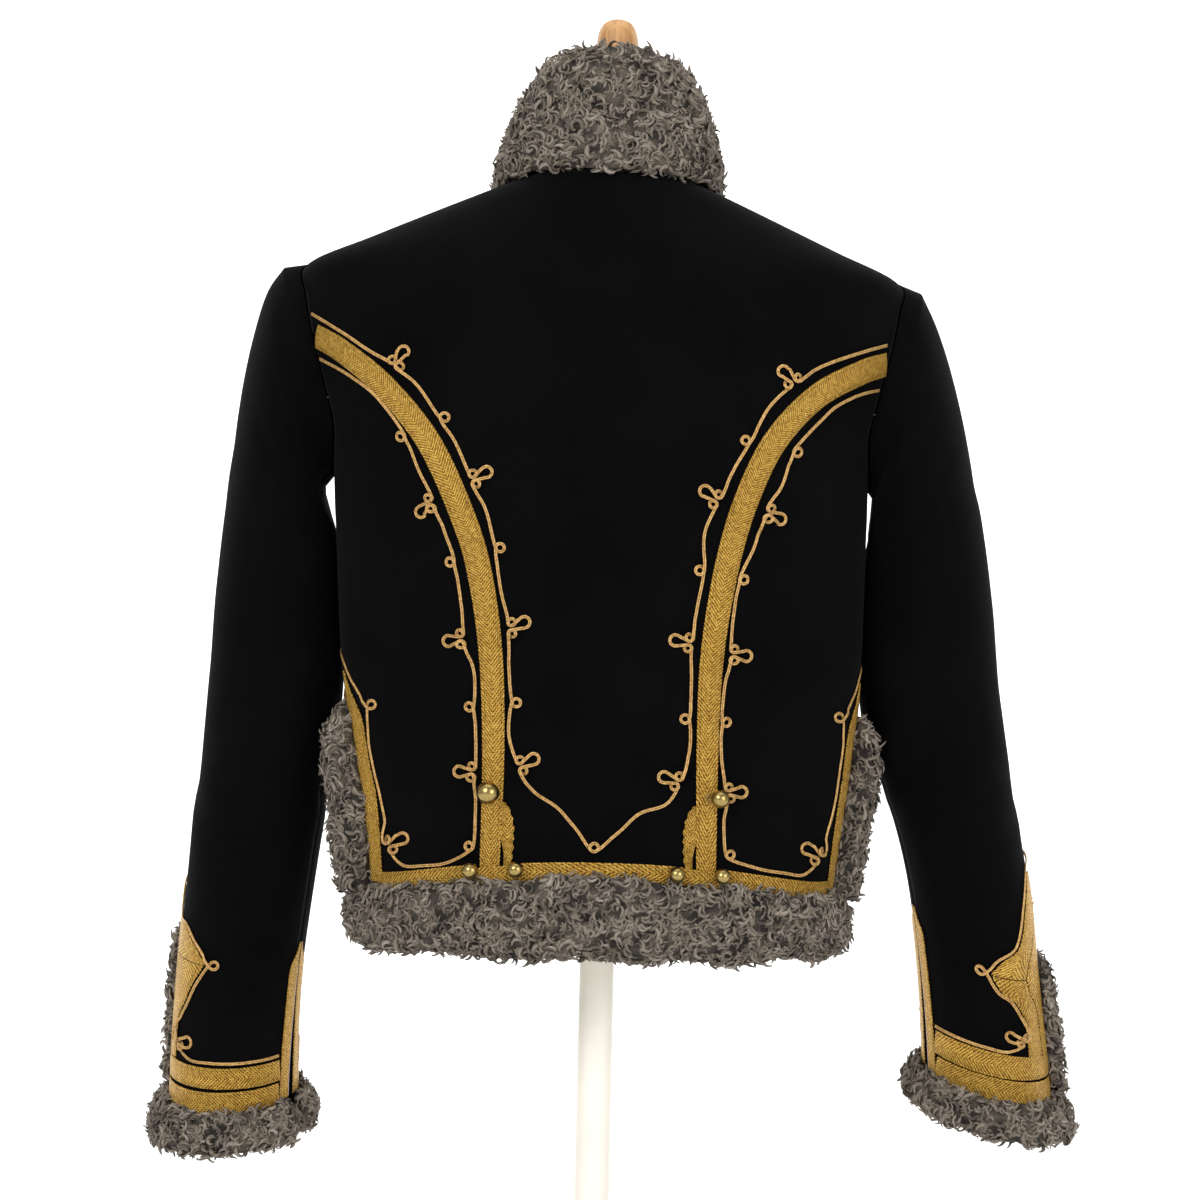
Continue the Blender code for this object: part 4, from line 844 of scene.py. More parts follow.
def lace_material(name, bright, middle, dark, pitch):
    # Gold lace: metal thread woven in chevrons over a cotton weft, with a corded edge. The real
    # thread is about 0.3 mm; the chevrons are drawn wide enough to show at the render's scale.
    # The colour over the weave is partly painted light: painted highlight on the raised threads,
    # painted shade between them, and painted glints from a fine noise.
    made, tree, shader = new_material(name, Metallic=0.62, Roughness=0.38)
    uv = add(tree, "ShaderNodeSeparateXYZ", Vector=add(tree, "ShaderNodeUVMap").outputs[0])
    across, along = uv.outputs[0], uv.outputs[1]
    rim = attribute(tree, "rim")

    def sums(kind, *values):
        return calc(tree, kind, *values)

    def wave(value, size):
        return sums("SINE", sums("MULTIPLY", value, 2 * math.pi / size))
    half = sums("ABSOLUTE", across)
    chevron = wave(sums("ADD", along, half), pitch)
    counter = wave(sums("SUBTRACT", along, half), pitch * 1.3)
    thread = wave(sums("ADD", along, sums("MULTIPLY", half, -2.2)), pitch * 0.42)
    weave = sums("MULTIPLY_ADD", chevron, 0.8, sums("MULTIPLY", sums("MULTIPLY", chevron, counter), 0.7))
    weave = sums("MULTIPLY_ADD", thread, 0.3, weave)
    # Painted glints: a fine noise brightens and darkens patches of the lace's colour.
    painted_glint = cloudy(tree, on_object(tree), 420.0, 2.0)
    level = sums("ADD", weave, sums("MULTIPLY_ADD", painted_glint, 3.0, -1.5))
    share = add(tree, "ShaderNodeMapRange", i0=level, i1=-1.7, i2=1.7).outputs[0]
    # Painted light: the ramp's bright colour is a painted highlight on the raised threads, its dark colour
    # painted shade between them.
    weave_and_painted_shade = ramp(tree, share, ((0.1, dark), (0.5, middle), (0.88, bright)))
    # The stitched line inside the edge: short dark dashes.
    stitches = wave(along, LACE_TOOTH)
    line = sums("ABSOLUTE", sums("SUBTRACT", sums("MULTIPLY_ADD", stitches, 0.03, rim), 0.78))
    line = sums("SUBTRACT", 1.0, sums("MINIMUM", sums("DIVIDE", line, 0.055), 1.0))
    dash = sums("MINIMUM", sums("MAXIMUM", sums("MULTIPLY_ADD", stitches, 1.2, 0.7), 0.0), 1.0)
    stitch = sums("MULTIPLY", sums("MULTIPLY", line, dash), 0.8)
    mixed = add(tree, "ShaderNodeMix", {"data_type": "RGBA"}, i0=stitch, i6=weave_and_painted_shade, i7=colour("#2E1C05"))
    surfaced(tree, shader, mixed.outputs[2], sums("MULTIPLY_ADD", stitch, -2.0, level), 0.8, 0.0005)
    return made


def cord_material(code, shade):
    # Russia braid: two cotton cores wound with gilt thread, paler and duller than the lace.
    made, tree, shader = new_material("gilt_russia_braid", Metallic=0.45, Roughness=0.45)
    # Painted shade: the noise mixes the gilt toward a darker colour, meant as shade between the threads.
    thread = cloudy(tree, on_object(tree), 700.0, 2.0)
    surfaced(tree, shader, ramp(tree, thread, ((0.3, shade), (0.65, code))), thread, 0.4, 0.0003)
    return made


def fleece_material(name, light, middle, dark):
    # Grey lamb: wool locks with a silky gloss. Their colour is partly painted light: painted shade
    # on the skin and in the hollows between the clumps, paler curls on top of the clumps, with
    # random tone and fibre streaks.
    made, tree, shader = new_material(name, Roughness=0.75, Sheen_Weight=0.05, Sheen_Roughness=0.4,
                                      Specular_IOR_Level=0.25)
    tone = attribute(tree, "tone")
    cloud = calc(tree, "MULTIPLY_ADD", cloudy(tree, on_object(tree), 60.0, 3.0), 0.6, -0.3)
    # Fine fibres run along each lock.
    apart = calc(tree, "MULTIPLY", tone, 37.0)
    weft = add(tree, "ShaderNodeVectorMath", {"operation": "ADD"}, i0=attribute(tree, "weft", "Vector"),
               i1=apart).outputs[0]
    fibre = cloudy(tree, weft, 2.6, 4.0)
    streak = calc(tree, "MULTIPLY_ADD", fibre, 1.3, -0.65)
    share = calc(tree, "ADD", calc(tree, "ADD", tone, cloud), streak)
    tint = ramp(tree, share, ((0.0, dark), (0.5, middle), (1.0, light)))
    surfaced(tree, shader, tint, fibre, 0.7, 0.0009)
    return made


def gilt_material():
    # Gilt brass ball: spun, soldered and polished, so it mirrors the room with a few dull marks.
    made, tree, shader = new_material("polished_gilt_brass", Metallic=1.0, Base_Color=colour("#A38E58"))
    wear = cloudy(tree, on_object(tree), 260.0, 4.0)
    rough = add(tree, "ShaderNodeMapRange", i0=wear, i3=0.18, i4=0.36).outputs[0]
    tree.links.new(rough, shader.inputs["Roughness"])
    return made


def beech_material():
    # Turned beech under clear varnish: fine long grain with short dark flecks.
    made, tree, shader = new_material("varnished_beech", Roughness=0.55, Coat_Weight=0.12,
                                      Coat_Roughness=0.35)
    long = add(tree, "ShaderNodeMapping", Vector=on_object(tree), Scale=(1.0, 1.0, 0.07)).outputs[0]
    grain = cloudy(tree, long, 340.0, 4.0)
    tint = ramp(tree, grain, ((0.3, "#9C6C3A"), (0.55, "#B98A54"), (0.8, "#C79B68")))
    surfaced(tree, shader, tint, grain, 0.12, 0.0003)
    return made


def linen_material():
    # Natural linen cover: plain weave drawn at 1.6 mm a thread so that it shows.
    made, tree, shader = new_material("natural_linen", Roughness=0.9)
    place = on_object(tree)
    weave = add(tree, "ShaderNodeTexWave", {"wave_type": "BANDS", "bands_direction": "Z"}, Vector=place,
                Scale=100.0, Distortion=1.5, Detail=2.0).outputs[1]
    level = calc(tree, "MULTIPLY_ADD", weave, 0.5, cloudy(tree, place, 160.0, 3.0))
    tint = ramp(tree, level, ((0.3, "#A89B82"), (0.9, "#D6CBB4")))
    surfaced(tree, shader, tint, level, 0.4, 0.0005)
    return made


def paint_material():
    # Cream powder coat on steel: a faint orange-peel and a semi-gloss.
    made, tree, shader = new_material("cream_powder_coat", Roughness=0.42)
    place = on_object(tree)
    tint = ramp(tree, cloudy(tree, place, 18.0, 2.0), ((0.3, "#E4DFD2"), (0.7, "#EDE9DE")))
    surfaced(tree, shader, tint, cloudy(tree, place, 650.0, 1.0), 0.12, 0.0003)
    return made


def as_mesh(shape, name):
    """The mesh of a shape, which ends here."""
    mesh = bpy.data.meshes.new(name)
    shape.to_mesh(mesh)
    shape.free()
    return mesh


def linked(name, data):
    """A new object in the scene."""
    made = bpy.data.objects.new(name, data)
    bpy.context.scene.collection.objects.link(made)
    return made


def finish_piece(name, mesh, material, nodes=()):
    """The mesh as a piece that rides on the root body."""
    built = linked(name, mesh)
    mesh.materials.clear()
    mesh.materials.append(material)
    mesh.shade_smooth()
    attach(built, "root")
    if nodes:
        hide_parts(*nodes)
    return built


def mapped(name, across, along, place, size=(1, 1), centre=0.0):
    """A grid set in place by its shares across and along, with a texture map in millimetres."""
    shape = bmesh.new()
    uv = shape.loops.layers.uv.verify()
    rim = shape.verts.layers.float.new("rim")
    bmesh.ops.create_grid(shape, x_segments=across, y_segments=along, size=1)
    shares = {}
    for vert in shape.verts:
        shares[vert] = ((vert.co.x + 1) / 2, (vert.co.y + 1) / 2)
    for face in shape.faces:
        for loop in face.loops:
            s, t = shares[loop.vert]
            loop[uv].uv = ((s - centre) * size[0], t * size[1])
    for vert, (s, t) in shares.items():
        vert.co = place(s, t)
        vert[rim] = abs(2 * s - 1)
    shape.faces.ensure_lookup_table()
    middle = shape.faces[len(shape.faces) // 2]
    middle.normal_update()
    s, t = shares[middle.verts[0]]
    if middle.normal.dot(place(s, t, MM) - place(s, t)) < 0:
        bmesh.ops.reverse_faces(shape, faces=shape.faces)
    return as_mesh(shape, name)


def thicken(piece, thickness):
    """A wall inwards from the mesh."""
    wall = piece.modifiers.new("thickness", "SOLIDIFY")
    wall.thickness = thickness
    wall.offset = -1
    wall.use_rim = True
    return piece


def cloth_panel(name, node, edges, rows, across, along, material):
    """A panel of the body between its two edges."""
    def place(s, t, lift=0.0):
        height = spread(rows, t)
        first, last = edges(height)
        return cloth_body(first + (last - first) * s, height, lift)
    mesh = mapped(name, across, along, place, PANEL_UV)
    piece = thicken(finish_piece(name, mesh, material, (node,)), CLOTH)
    return piece


def cloth_sleeve_piece(name, node, side, first, last, piece_kind, material, flat, area):
    """The upper or the under piece of a sleeve, between two turns."""
    rows = [float(r) for r in SLEEVE_ROWS]

    def place(s, t, lift=0.0):
        along = spread(rows, t)
        at = max(along, 1)
        index = len(SLEEVES) - at
        lengths = SLEEVE_LENGTHS[side]
        low = int(min(index, len(lengths) - 2))
        height = lengths[low] + (lengths[low + 1] - lengths[low]) * (index - low) - CUFF_FUR_HEIGHT
        slit = slit_open(height)
        start = first + (0.2 if piece_kind == "upper" else slit)
        end = last - (slit if piece_kind == "upper" else 0.2)
        return cloth_sleeve(side, start + (end - start) * s, along, lift)
    across = round((last - first) / 5)
    mesh = mapped(name, across, 110, place, (300, 600))
    piece = thicken(finish_piece(name, mesh, material, (node,)), CLOTH)
    return piece


def cuff_surface(side):
    """Sleeve surface by the height above the cuff's fur."""
    def surface(turn, height, lift=0.0):
        return cloth_sleeve(side, turn, along_at(side, height), lift)
    return surface


def lace_band(name, nodes, surface, centre, half, length, material, lift=0.0009, scallop=0.5):
    """Lace along a line, with its centre and half width by share and teeth along both edges."""
    count = max(6, round(length / 0.9))
    spots = [centre(i / count) for i in range(count + 1)]
    points = [surface(*spot) for spot in spots]
    frames = []
    for i, (u, v) in enumerate(spots):
        ahead = points[min(i + 1, count)] - points[max(i - 1, 0)]
        frames.append(normal_of(surface, u, v).cross(ahead).normalized())

    def place(s, t, more=0.0):
        i = round(t * count)
        side = 2 * s - 1
        edge = half(t)
        tooth = scallop * math.cos(2 * math.pi * t * length / LACE_TOOTH) if abs(side) > 0.99 else 0
        u, v = slide(surface, *spots[i], frames[i] * (side * edge + math.copysign(tooth, side)) * MM)
        ridge = 0.00035 * (1 - side * side) + 0.0001
        return surface(u, v, LAY + lift + ridge + more)
    mesh = mapped(name, 6, count, place, (2 * half(0.5), length), 0.5)
    return thicken(finish_piece(name, mesh, material, nodes), LACE_WALL)


def patch(name, nodes, surface, corner, size, material, across, along, lift=0.0012):
    """A patch of lace whose corner function gives a place by shares."""
    def place(s, t, more=0.0):
        u, v = corner(s, t)
        return surface(u, v, LAY + lift + more)
    mesh = mapped(name, across, along, place, size, 0.5)
    return thicken(finish_piece(name, mesh, material, nodes), LACE_WALL)


def russia_braid(name, nodes, surface, places, material, radius=CORD_RADIUS,
                 lifted=True, above=0.0):
    """Two round ridges side by side along places on a surface, laid over themselves at crossings."""
    points = [surface(u, v) for u, v in places]
    lifts = stacked(points) if lifted else [0.0] * len(points)
    curve = bpy.data.curves.new(name, "CURVE")
    curve.dimensions = "3D"
    curve.bevel_depth = radius
    curve.bevel_resolution = 1
    curve.use_fill_caps = True
    for side in (-1, 1):
        line = curve.splines.new("POLY")
        line.points.add(len(points) - 1)
        for i, (u, v) in enumerate(places):
            ahead = points[min(i + 1, len(points) - 1)] - points[max(i - 1, 0)]
            up = normal_of(surface, u, v)
            across = up.cross(ahead).normalized() * radius * 1.02
            spot = points[i] + up * (LAY + above + radius + lifts[i]) + across * side
            line.points[i].co = (*spot, 1)
    holder = linked(name + "_line", curve)
    bpy.context.view_layer.update()
    mesh = bpy.data.meshes.new_from_object(holder)
    mesh.name = name
    bpy.data.objects.remove(holder)
    return finish_piece(name, mesh, material, nodes)


# Fleece curls: bend radius, turn in degrees, lock radius, tilt in degrees, rise; all lengths in mm
CURLS = (
    (4.2, 150, 2.3, 8, 1.0), (5.2, 120, 2.5, 12, 1.2), (3.4, 190, 2.0, 6, 1.4), (6.2, 95, 2.4, 16, 1.0),
    (4.0, 165, 2.1, 20, 1.2), (3.0, 210, 1.8, 12, 1.6), (4.8, 130, 2.2, 10, 1.6), (3.6, 170, 1.7, 26, 1.2),
    (2.6, 220, 1.3, 18, 1.8), (5.6, 105, 1.5, 24, 1.5),
)


def make_curls(material):
    """A hidden collection of curl shapes for the fleece."""
    holder = bpy.data.collections.new("curl_shapes")
    for i, (bend, turn, thread, tilt, rise) in enumerate(CURLS):
        shape = bmesh.new()
        weft = shape.verts.layers.float_vector.new("weft")
        bmesh.ops.create_circle(shape, segments=3, radius=thread * MM)
        bmesh.ops.rotate(shape, verts=shape.verts, matrix=Matrix.Rotation(math.radians(90), 3, "X"))
        bmesh.ops.scale(shape, verts=shape.verts, vec=(1, 1, 0.62))
        bmesh.ops.translate(shape, verts=shape.verts, vec=(bend * MM, 0, 0))
        sweep = math.radians(turn)
        bmesh.ops.spin(shape, geom=shape.verts[:] + shape.edges[:], cent=(0, 0, 0), axis=(0, 0, 1),
                       dvec=(0, 0, rise * MM / CURL_STEPS), angle=sweep, steps=CURL_STEPS,
                       use_duplicate=False)
        for vert in shape.verts:
            angle = math.atan2(vert.co.y, vert.co.x) % (2 * math.pi)
            share = min(1.0, angle / sweep) if angle < sweep + 0.3 else 0.0
            line = Vector((math.cos(angle) * bend * MM, math.sin(angle) * bend * MM, rise * MM * share))
            out = vert.co - line
            round_it = math.atan2(out.z, out.x * math.cos(angle) + out.y * math.sin(angle))
            vert[weft] = (math.cos(round_it), math.sin(round_it), share)
            slim = (1 - 0.78 * share ** 2) * (0.6 if share < 0.05 else 1)
            vert.co = line + out * slim
        bmesh.ops.translate(shape, verts=shape.verts, vec=(-bend * MM, 0, 0))
        bmesh.ops.rotate(shape, verts=shape.verts, matrix=Matrix.Rotation(math.radians(tilt), 3, "Y"))
        bmesh.ops.translate(shape, verts=shape.verts, vec=(bend * MM * 0.5, 0, -0.4 * MM))
        bmesh.ops.holes_fill(shape, edges=shape.edges[:], sides=3)
        bmesh.ops.recalc_face_normals(shape, faces=shape.faces)
        mesh = as_mesh(shape, f"curl_{i}")
        mesh.materials.append(material)
        mesh.shade_smooth()
        holder.objects.link(bpy.data.objects.new(f"curl_{i}", mesh))
    return holder


def curl_nodes(holder):
    """Geometry Nodes that set the curls on a skin, in locks that lie the same way."""
    tree = bpy.data.node_groups.new("lamb_curls", "GeometryNodeTree")
    for way in ("INPUT", "OUTPUT"):
        tree.interface.new_socket("Geometry", in_out=way, socket_type="NodeSocketGeometry")
    for name, kind in (("Density", "Float"), ("Seed", "Int"), ("Size", "Float")):
        tree.interface.new_socket(name, in_out="INPUT", socket_type="NodeSocket" + kind)
    given = add(tree, "NodeGroupInput")
    pile = add(tree, "GeometryNodeInputNamedAttribute", {"data_type": "FLOAT"}, Name="pile").outputs[0]
    thick = calc(tree, "MULTIPLY", given.outputs["Density"], pile)
    scatter = add(tree, "GeometryNodeDistributePointsOnFaces", {"distribute_method": "RANDOM"},
                  Mesh=given.outputs["Geometry"], Density=thick, Seed=given.outputs["Seed"])

    def chance(low, high, seed):
        return add(tree, "FunctionNodeRandomValue", {"data_type": "FLOAT"}, i2=low, i3=high,
                   i8=seed).outputs[1]
    lock = add(tree, "ShaderNodeTexNoise", Scale=55.0, Detail=1.0).outputs[0]
    swirl = calc(tree, "ADD", calc(tree, "MULTIPLY", lock, 22.0), chance(-0.6, 0.6, 3))
    lean = add(tree, "ShaderNodeCombineXYZ", i0=chance(-0.22, 0.22, 4), i1=chance(-0.22, 0.22, 5), i2=swirl)
    way = add(tree, "FunctionNodeRotateRotation", {"rotation_space": "LOCAL"},
              Rotation=scatter.outputs["Rotation"], Rotate_By=lean.outputs[0]).outputs[0]
    size = calc(tree, "MULTIPLY", given.outputs["Size"], chance(0.7, 1.25, 6))
    shapes = add(tree, "GeometryNodeCollectionInfo", Collection=holder, Separate_Children=True,
                 Reset_Children=True).outputs[0]
    pick = add(tree, "FunctionNodeRandomValue", {"data_type": "INT"}, i4=0, i5=len(CURLS) - 1,
               i8=7).outputs[2]
    curls = add(tree, "GeometryNodeInstanceOnPoints", Points=scatter.outputs["Points"], Instance=shapes,
                Pick_Instance=True, Instance_Index=pick, Rotation=way, Scale=size).outputs[0]
    # Painted shade: curls where the pile is low, in the hollows and next to the cloth, are darker; a random
    # part adds tone.
    depth = calc(tree, "MULTIPLY_ADD", pile, 0.5, chance(-0.08, 0.44, 8))
    curls_with_shade = add(tree, "GeometryNodeStoreNamedAttribute", {"data_type": "FLOAT", "domain": "INSTANCE"},
                Geometry=curls, Name="tone", Value=depth).outputs[0]
    single = add(tree, "GeometryNodeRealizeInstances", Geometry=curls_with_shade).outputs[0]
    tree.links.new(single, add(tree, "NodeGroupOutput").inputs[0])
    return tree


def lumps(point, size):
    """Rounded clumps of the fleece, 0 in the hollows and 1 on top."""
    nearest = noise.voronoi(point * size, distance_metric="DISTANCE")[0][0]
    return max(0.0, min(1.0, 1.15 - nearest * 1.5))


def fleece(name, node, tree, material, density, seed, grow, size, split):
    """Fleece over a CAD band: a lumpy skin painted dark as shade between the curls, and curls set on it where
    it faces out.
    """
    shape = bmesh.new()
    shape.from_mesh(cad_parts[node].data)
    bmesh.ops.remove_doubles(shape, verts=shape.verts, dist=1e-6)
    for _ in range(3):
        long_edges = [edge for edge in shape.edges if edge.calc_length() > 0.0075]
        if not long_edges:
            break
        bmesh.ops.subdivide_edges(shape, edges=long_edges, cuts=1, use_grid_fill=True)
        bmesh.ops.triangulate(shape, faces=shape.faces)
    for _ in range(2):
        bmesh.ops.smooth_vert(shape, verts=shape.verts, factor=0.5, use_axis_x=True, use_axis_y=True,
                              use_axis_z=True)
    shape.normal_update()
    foot = min(vert.co.z for vert in shape.verts)
    pile = shape.verts.layers.float.new("pile")
    tone = shape.verts.layers.float.new("tone")
    weft = shape.verts.layers.float_vector.new("weft")
    for vert in shape.verts:
        hit = CLOTH_TREE.find_nearest(vert.co)
        away = (vert.co - hit[0]).length if hit[0] else 1
        outer = ease((away - 0.0006) / 0.0016)
        clump = lumps(vert.co, FLEECE_GRAIN)
        vert[pile] = outer * (0.6 + 0.4 * clump)
        # Painted shade: the skin is darkest in the hollows between the clumps.
        vert[tone] = -0.05 + 0.45 * clump
        sway = noise.noise_vector(vert.co * FLEECE_GRAIN) * 4
        vert[weft] = (vert.co.x * 800 + sway.x, vert.co.y * 800 + sway.y, vert.co.z * 220 + sway.z)
        vert.co += vert.normal * (grow - 0.0026 + 0.0024 * clump) * outer
        # The hip pieces run down into the hem's fleece.
        if "hip" in node:
            vert.co.z -= 0.006 * ease((foot + 0.014 - vert.co.z) / 0.014)
    if split is not None:
        gone = [face for face in shape.faces if (face.calc_center_median().y > split[0]) != split[1]]
        bmesh.ops.delete(shape, geom=gone, context="FACES")
    skin_mesh = as_mesh(shape, name + "_skin")
    skin = linked(name + "_skin", skin_mesh)
    scatter = skin.modifiers.new("curls", "NODES")
    scatter.node_group = tree
    given = {"Density": float(density), "Seed": seed, "Size": float(size)}
    for item in tree.interface.items_tree:
        if item.item_type == "SOCKET" and item.in_out == "INPUT" and item.name in given:
            scatter[item.identifier] = given[item.name]
    bpy.context.view_layer.update()
    curls = bpy.data.meshes.new_from_object(skin.evaluated_get(bpy.context.evaluated_depsgraph_get()))
    bpy.data.objects.remove(skin)
    joined = bmesh.new()
    joined.from_mesh(curls)
    joined.from_mesh(skin_mesh)
    return finish_piece(name, as_mesh(joined, name), material, (node,))


def make_panels(finish):
    """The back, the two side bodies and the two fronts."""
    cloth_panel("cloth_back", "back_panel", back_edges, BODY_ROWS, 72, 116, finish)
    for name, side in SIDES:
        top = side_top(side)
        rows = [row for row in BODY_ROWS if row < top - 2] + [top]
        cloth_panel(f"cloth_side_{name}", f"side_body_{name}", side_edges(side), rows, 24, 96, finish)
        cloth_panel(f"cloth_front_{name}", f"front_{name}", front_edges(side), BODY_ROWS, 44, 116, finish)


# Flat size and area in metres of each sleeve's two pieces, the left sleeve (-1) first
UPPER_CUTS = {-1: ((0.33, 0.68), 0.145), 1: ((0.33, 0.66), 0.143)}
UNDER_CUTS = {-1: ((0.13, 0.57), 0.051), 1: ((0.12, 0.55), 0.045)}


def make_sleeve_cloth(finish, piping):
    """Both sleeves, with pale piping on the slits' edges."""
    for name, side, hind, *_ in CUFFS:
        cloth_sleeve_piece(f"cloth_sleeve_{name}_upper", f"sleeve_{name}_upper", side, FORE_SEAM, hind,
                           "upper", finish, *UPPER_CUTS[side])
        cloth_sleeve_piece(f"cloth_sleeve_{name}_under", f"sleeve_{name}_under", side, hind, FORE_SEAM + 360,
                           "under", finish, *UNDER_CUTS[side])
        heights = [2 + 104 * i / 60 for i in range(61)]
        places = [(hind - slit_open(height) - 0.3, height) for height in heights]
        russia_braid(f"slit_piping_{name}", (), cuff_surface(side), places, piping, radius=0.0005,
                     lifted=False)


def make_collar_cloth(finish):
    """The stand collar, open at the front."""
    def place(s, t, lift=0.0):
        return collar(COLLAR_EDGE * (2 * s - 1), 0.012 + 0.988 * t, lift)
    mesh = mapped("cloth_collar", 120, 16, place, (400, 90))
    piece = thicken(finish_piece("cloth_collar", mesh, finish, ("collar_stand",)), CLOTH)


def make_back_lace_pieces(finish):
    """The laces on the back seams and their tails."""
    for name, side in SIDES:
        rows = lace_rows(side)
        last = len(rows) - 1

        def centre(t):
            x, height, _ = blend(rows, last * t)
            return on_back(x, height)

        def half(t):
            return blend(rows, last * t)[2]
        lace_band(f"back_lace_{name}", (f"lace_back_{name}",), cloth_body, centre, half,
                  BACK_LACE_LENGTH, finish, scallop=0.75)

        tail = ((-147, 0.4, 2.5), (-155, 0.4, 7), (-165, 0.4, 9.3), (-174, 0.6, 9.6), (-181, 2.6, 9.6),
                (-189, 3.4, 9), (-197, 2.6, 8.2))

        def corner(s, t):
            inner, outer = blend(tuple((i, row[1], row[2]) for i, row in enumerate(tail)), t * 6)
            height = spread([row[0] for row in tail], t)
            middle, _, wide = blend(rows, 7 + (-117 - height) / 79)
            rough = 0.5 * math.sin(height * 0.9) * (1 if s > 0.95 else 0)
            step = inner + (outer - inner) * s + rough
            return on_back(side * (abs(middle) - wide - step), height)
        patch(f"back_lace_tail_{name}", (f"lace_tail_{name}",), cloth_body, corner, (10, 50), finish,
              8, 60)


def make_hem_lace_pieces(finish):
    """The laces on top of the hem's fleece and beside the hips' fleece."""
    def band(name, nodes, first, last, width, lift=0.0009):
        length = abs(last - first) * HEM_LACE_UNIT + 1

        def centre(t):
            turn = first + (last - first) * t
            return turn, fur_line(turn) + 0.8 + width / 2 - LACE_UNDER_FUR / 2
        lace_band(name, nodes, cloth_body, centre, lambda t: (width + LACE_UNDER_FUR) / 2, length,
                  finish, lift=lift, scallop=0.35)
    band("hem_lace_middle", ("lace_hem_middle",), on_back(-62.3, -192)[0], on_back(60.3, -192)[0], 7.5)
    for name, side in SIDES:
        inner = on_back(side * 88, -200)[0]
        outer = hip_lace_edge(side, -203) - side * 0.4
        band(f"hem_lace_{name}", (f"lace_hem_{name}",), inner, outer, 9)
        band(f"hem_lace_tie_{name}", (), on_back(side * 60, -198)[0], inner, 6.5, 0.0022)
        back, front = hip_fur_edges(side, -203)
        band(f"hem_lace_front_{name}", (f"lace_hem_front_{name}",), front + back - outer,
             side * (180 - turn_at_x(28, -205)), 9)
        for part in ("back", "front"):
            def corner(s, t):
                height = HIP_LACE_FOOT + HIP_LACE_LENGTH * t
                inner_edge = hip_lace_edge(side, height) - side * 1.0
                near, far = hip_fur_edges(side, height)
                outer_edge = inner_edge + side * (HIP_LACE_TURN + 2.2) * (1 - 0.85 * ease((height + 84) / 27))
                tooth = 0.18 * math.cos(2 * math.pi * t * 160 / LACE_TOOTH) if s < 0.01 else 0
                turn = inner_edge + (outer_edge - inner_edge) * s + side * tooth
                return (turn if part == "back" else far + near - turn), height
            patch(f"hip_lace_{name}_{part}", (f"lace_hip_{name}_{part}",), cloth_body, corner, (14, 160),
                  finish, 8, 170)


def cord_reach(line, start, way):
    """How far from a turn the cord runs at each height of a cuff, on one side of the fleece strip."""
    found = {}
    for (first, low), (last, high) in zip(line, line[1:]):
        for level in range(math.ceil(min(low, high)), math.floor(max(low, high)) + 1):
            turn = first + (last - first) * (level - low) / ((high - low) or 1)
            if (turn - start) * way > 0:
                found[level] = min(found.get(level, 999), (turn - start) * way)
    return found


def make_cuff_lace_pieces(finish):
    """The cuffs' two rows of lace, their peaked laces and the laces of the slits."""
    for name, side, hind, strip_edge, peak, tip in CUFFS:
        surface = cuff_surface(side)
        cord = cuff_cord(hind, strip_edge, peak, tip)
        for part, way, start, end in cuff_sides(hind, strip_edge):
            long = abs(end - start) * CUFF_LACE_UNIT
            for row, middle, half in (("lower", 5.9, 9.3), ("upper", 26.3, 7.7)):
                lace_band(f"cuff_lace_{name}_{part}_{row}", (f"lace_cuff_{name}_{part}",), surface,
                          lambda t: (start + (end - start) * t, middle), lambda t: half, long, finish,
                          scallop=0.6)
            edge_of = cord_reach(cord, start, way)

            def reach(height):
                height = max(CUFF_ROWS_HEIGHT + 30, height)
                near = [share for level, share in edge_of.items() if abs(level - height) <= 1.6]
                return max(PEAK_LEAST, sum(near) / len(near) - PEAK_CLEAR) if near else PEAK_LEAST

            def inner(height):
                return reach(height) * 0.44 * ease((tip - 16 - height) / 40)

            def tooth(height):
                return 0.5 * math.cos(2 * math.pi * height / PEAK_TOOTH)

            def rough(s, height):
                return tooth(height + PEAK_TOOTH / 2) if s < 0.01 else tooth(height) if s > 0.99 else 0

            def beside(s, t):
                height = CUFF_ROWS_HEIGHT + 0.5 + (tip - 20 - CUFF_ROWS_HEIGHT) * t
                far = inner(height) + (tooth(height) if s > 0.99 else 0)
                return start + way * s * far, height

            def lower(s, t):
                height = CUFF_ROWS_HEIGHT + 0.5 + (peak - 0.6 - CUFF_ROWS_HEIGHT) * t
                near, far = inner(height) + 2.0, reach(height)
                return start + way * (near + (far - near) * s + rough(s, height)), height

            def upper(s, t):
                height = peak + 0.6 + (tip - 1.2 - peak) * t
                near, far = inner(height) + 2.0 * (1 - t), reach(height)
                return start + way * (near + (far - near) * s + rough(s, height) * (1 - t)), height
            peak_name = f"peak_lace_{name}_{part}"
            patch(peak_name + "_beside", (f"lace_peak_{name}_{part}",), surface, beside, (13, 120), finish,
                  6, 130)
            patch(peak_name + "_lower", (), surface, lower, (20, 75), finish, 10, 90)
            patch(peak_name + "_upper", (), surface, upper, (20, 62), finish, 10, 76)

        for part, way in (("upper", -1), ("under", 1)):
            def corner(s, t):
                height = 1.2 + (SLIT_HEIGHT + 8 - 1.2) * t
                edge = hind + way * (slit_open(height) + 0.8)
                narrow = 1 - 0.9 * ease((height - 104) / 22)
                return edge + way * SLIT_LACE_TURN * s * narrow, height
            patch(f"slit_lace_{name}_{part}", (f"lace_slit_{name}_{part}",), surface, corner, (10, 125),
                  finish, 8, 130)


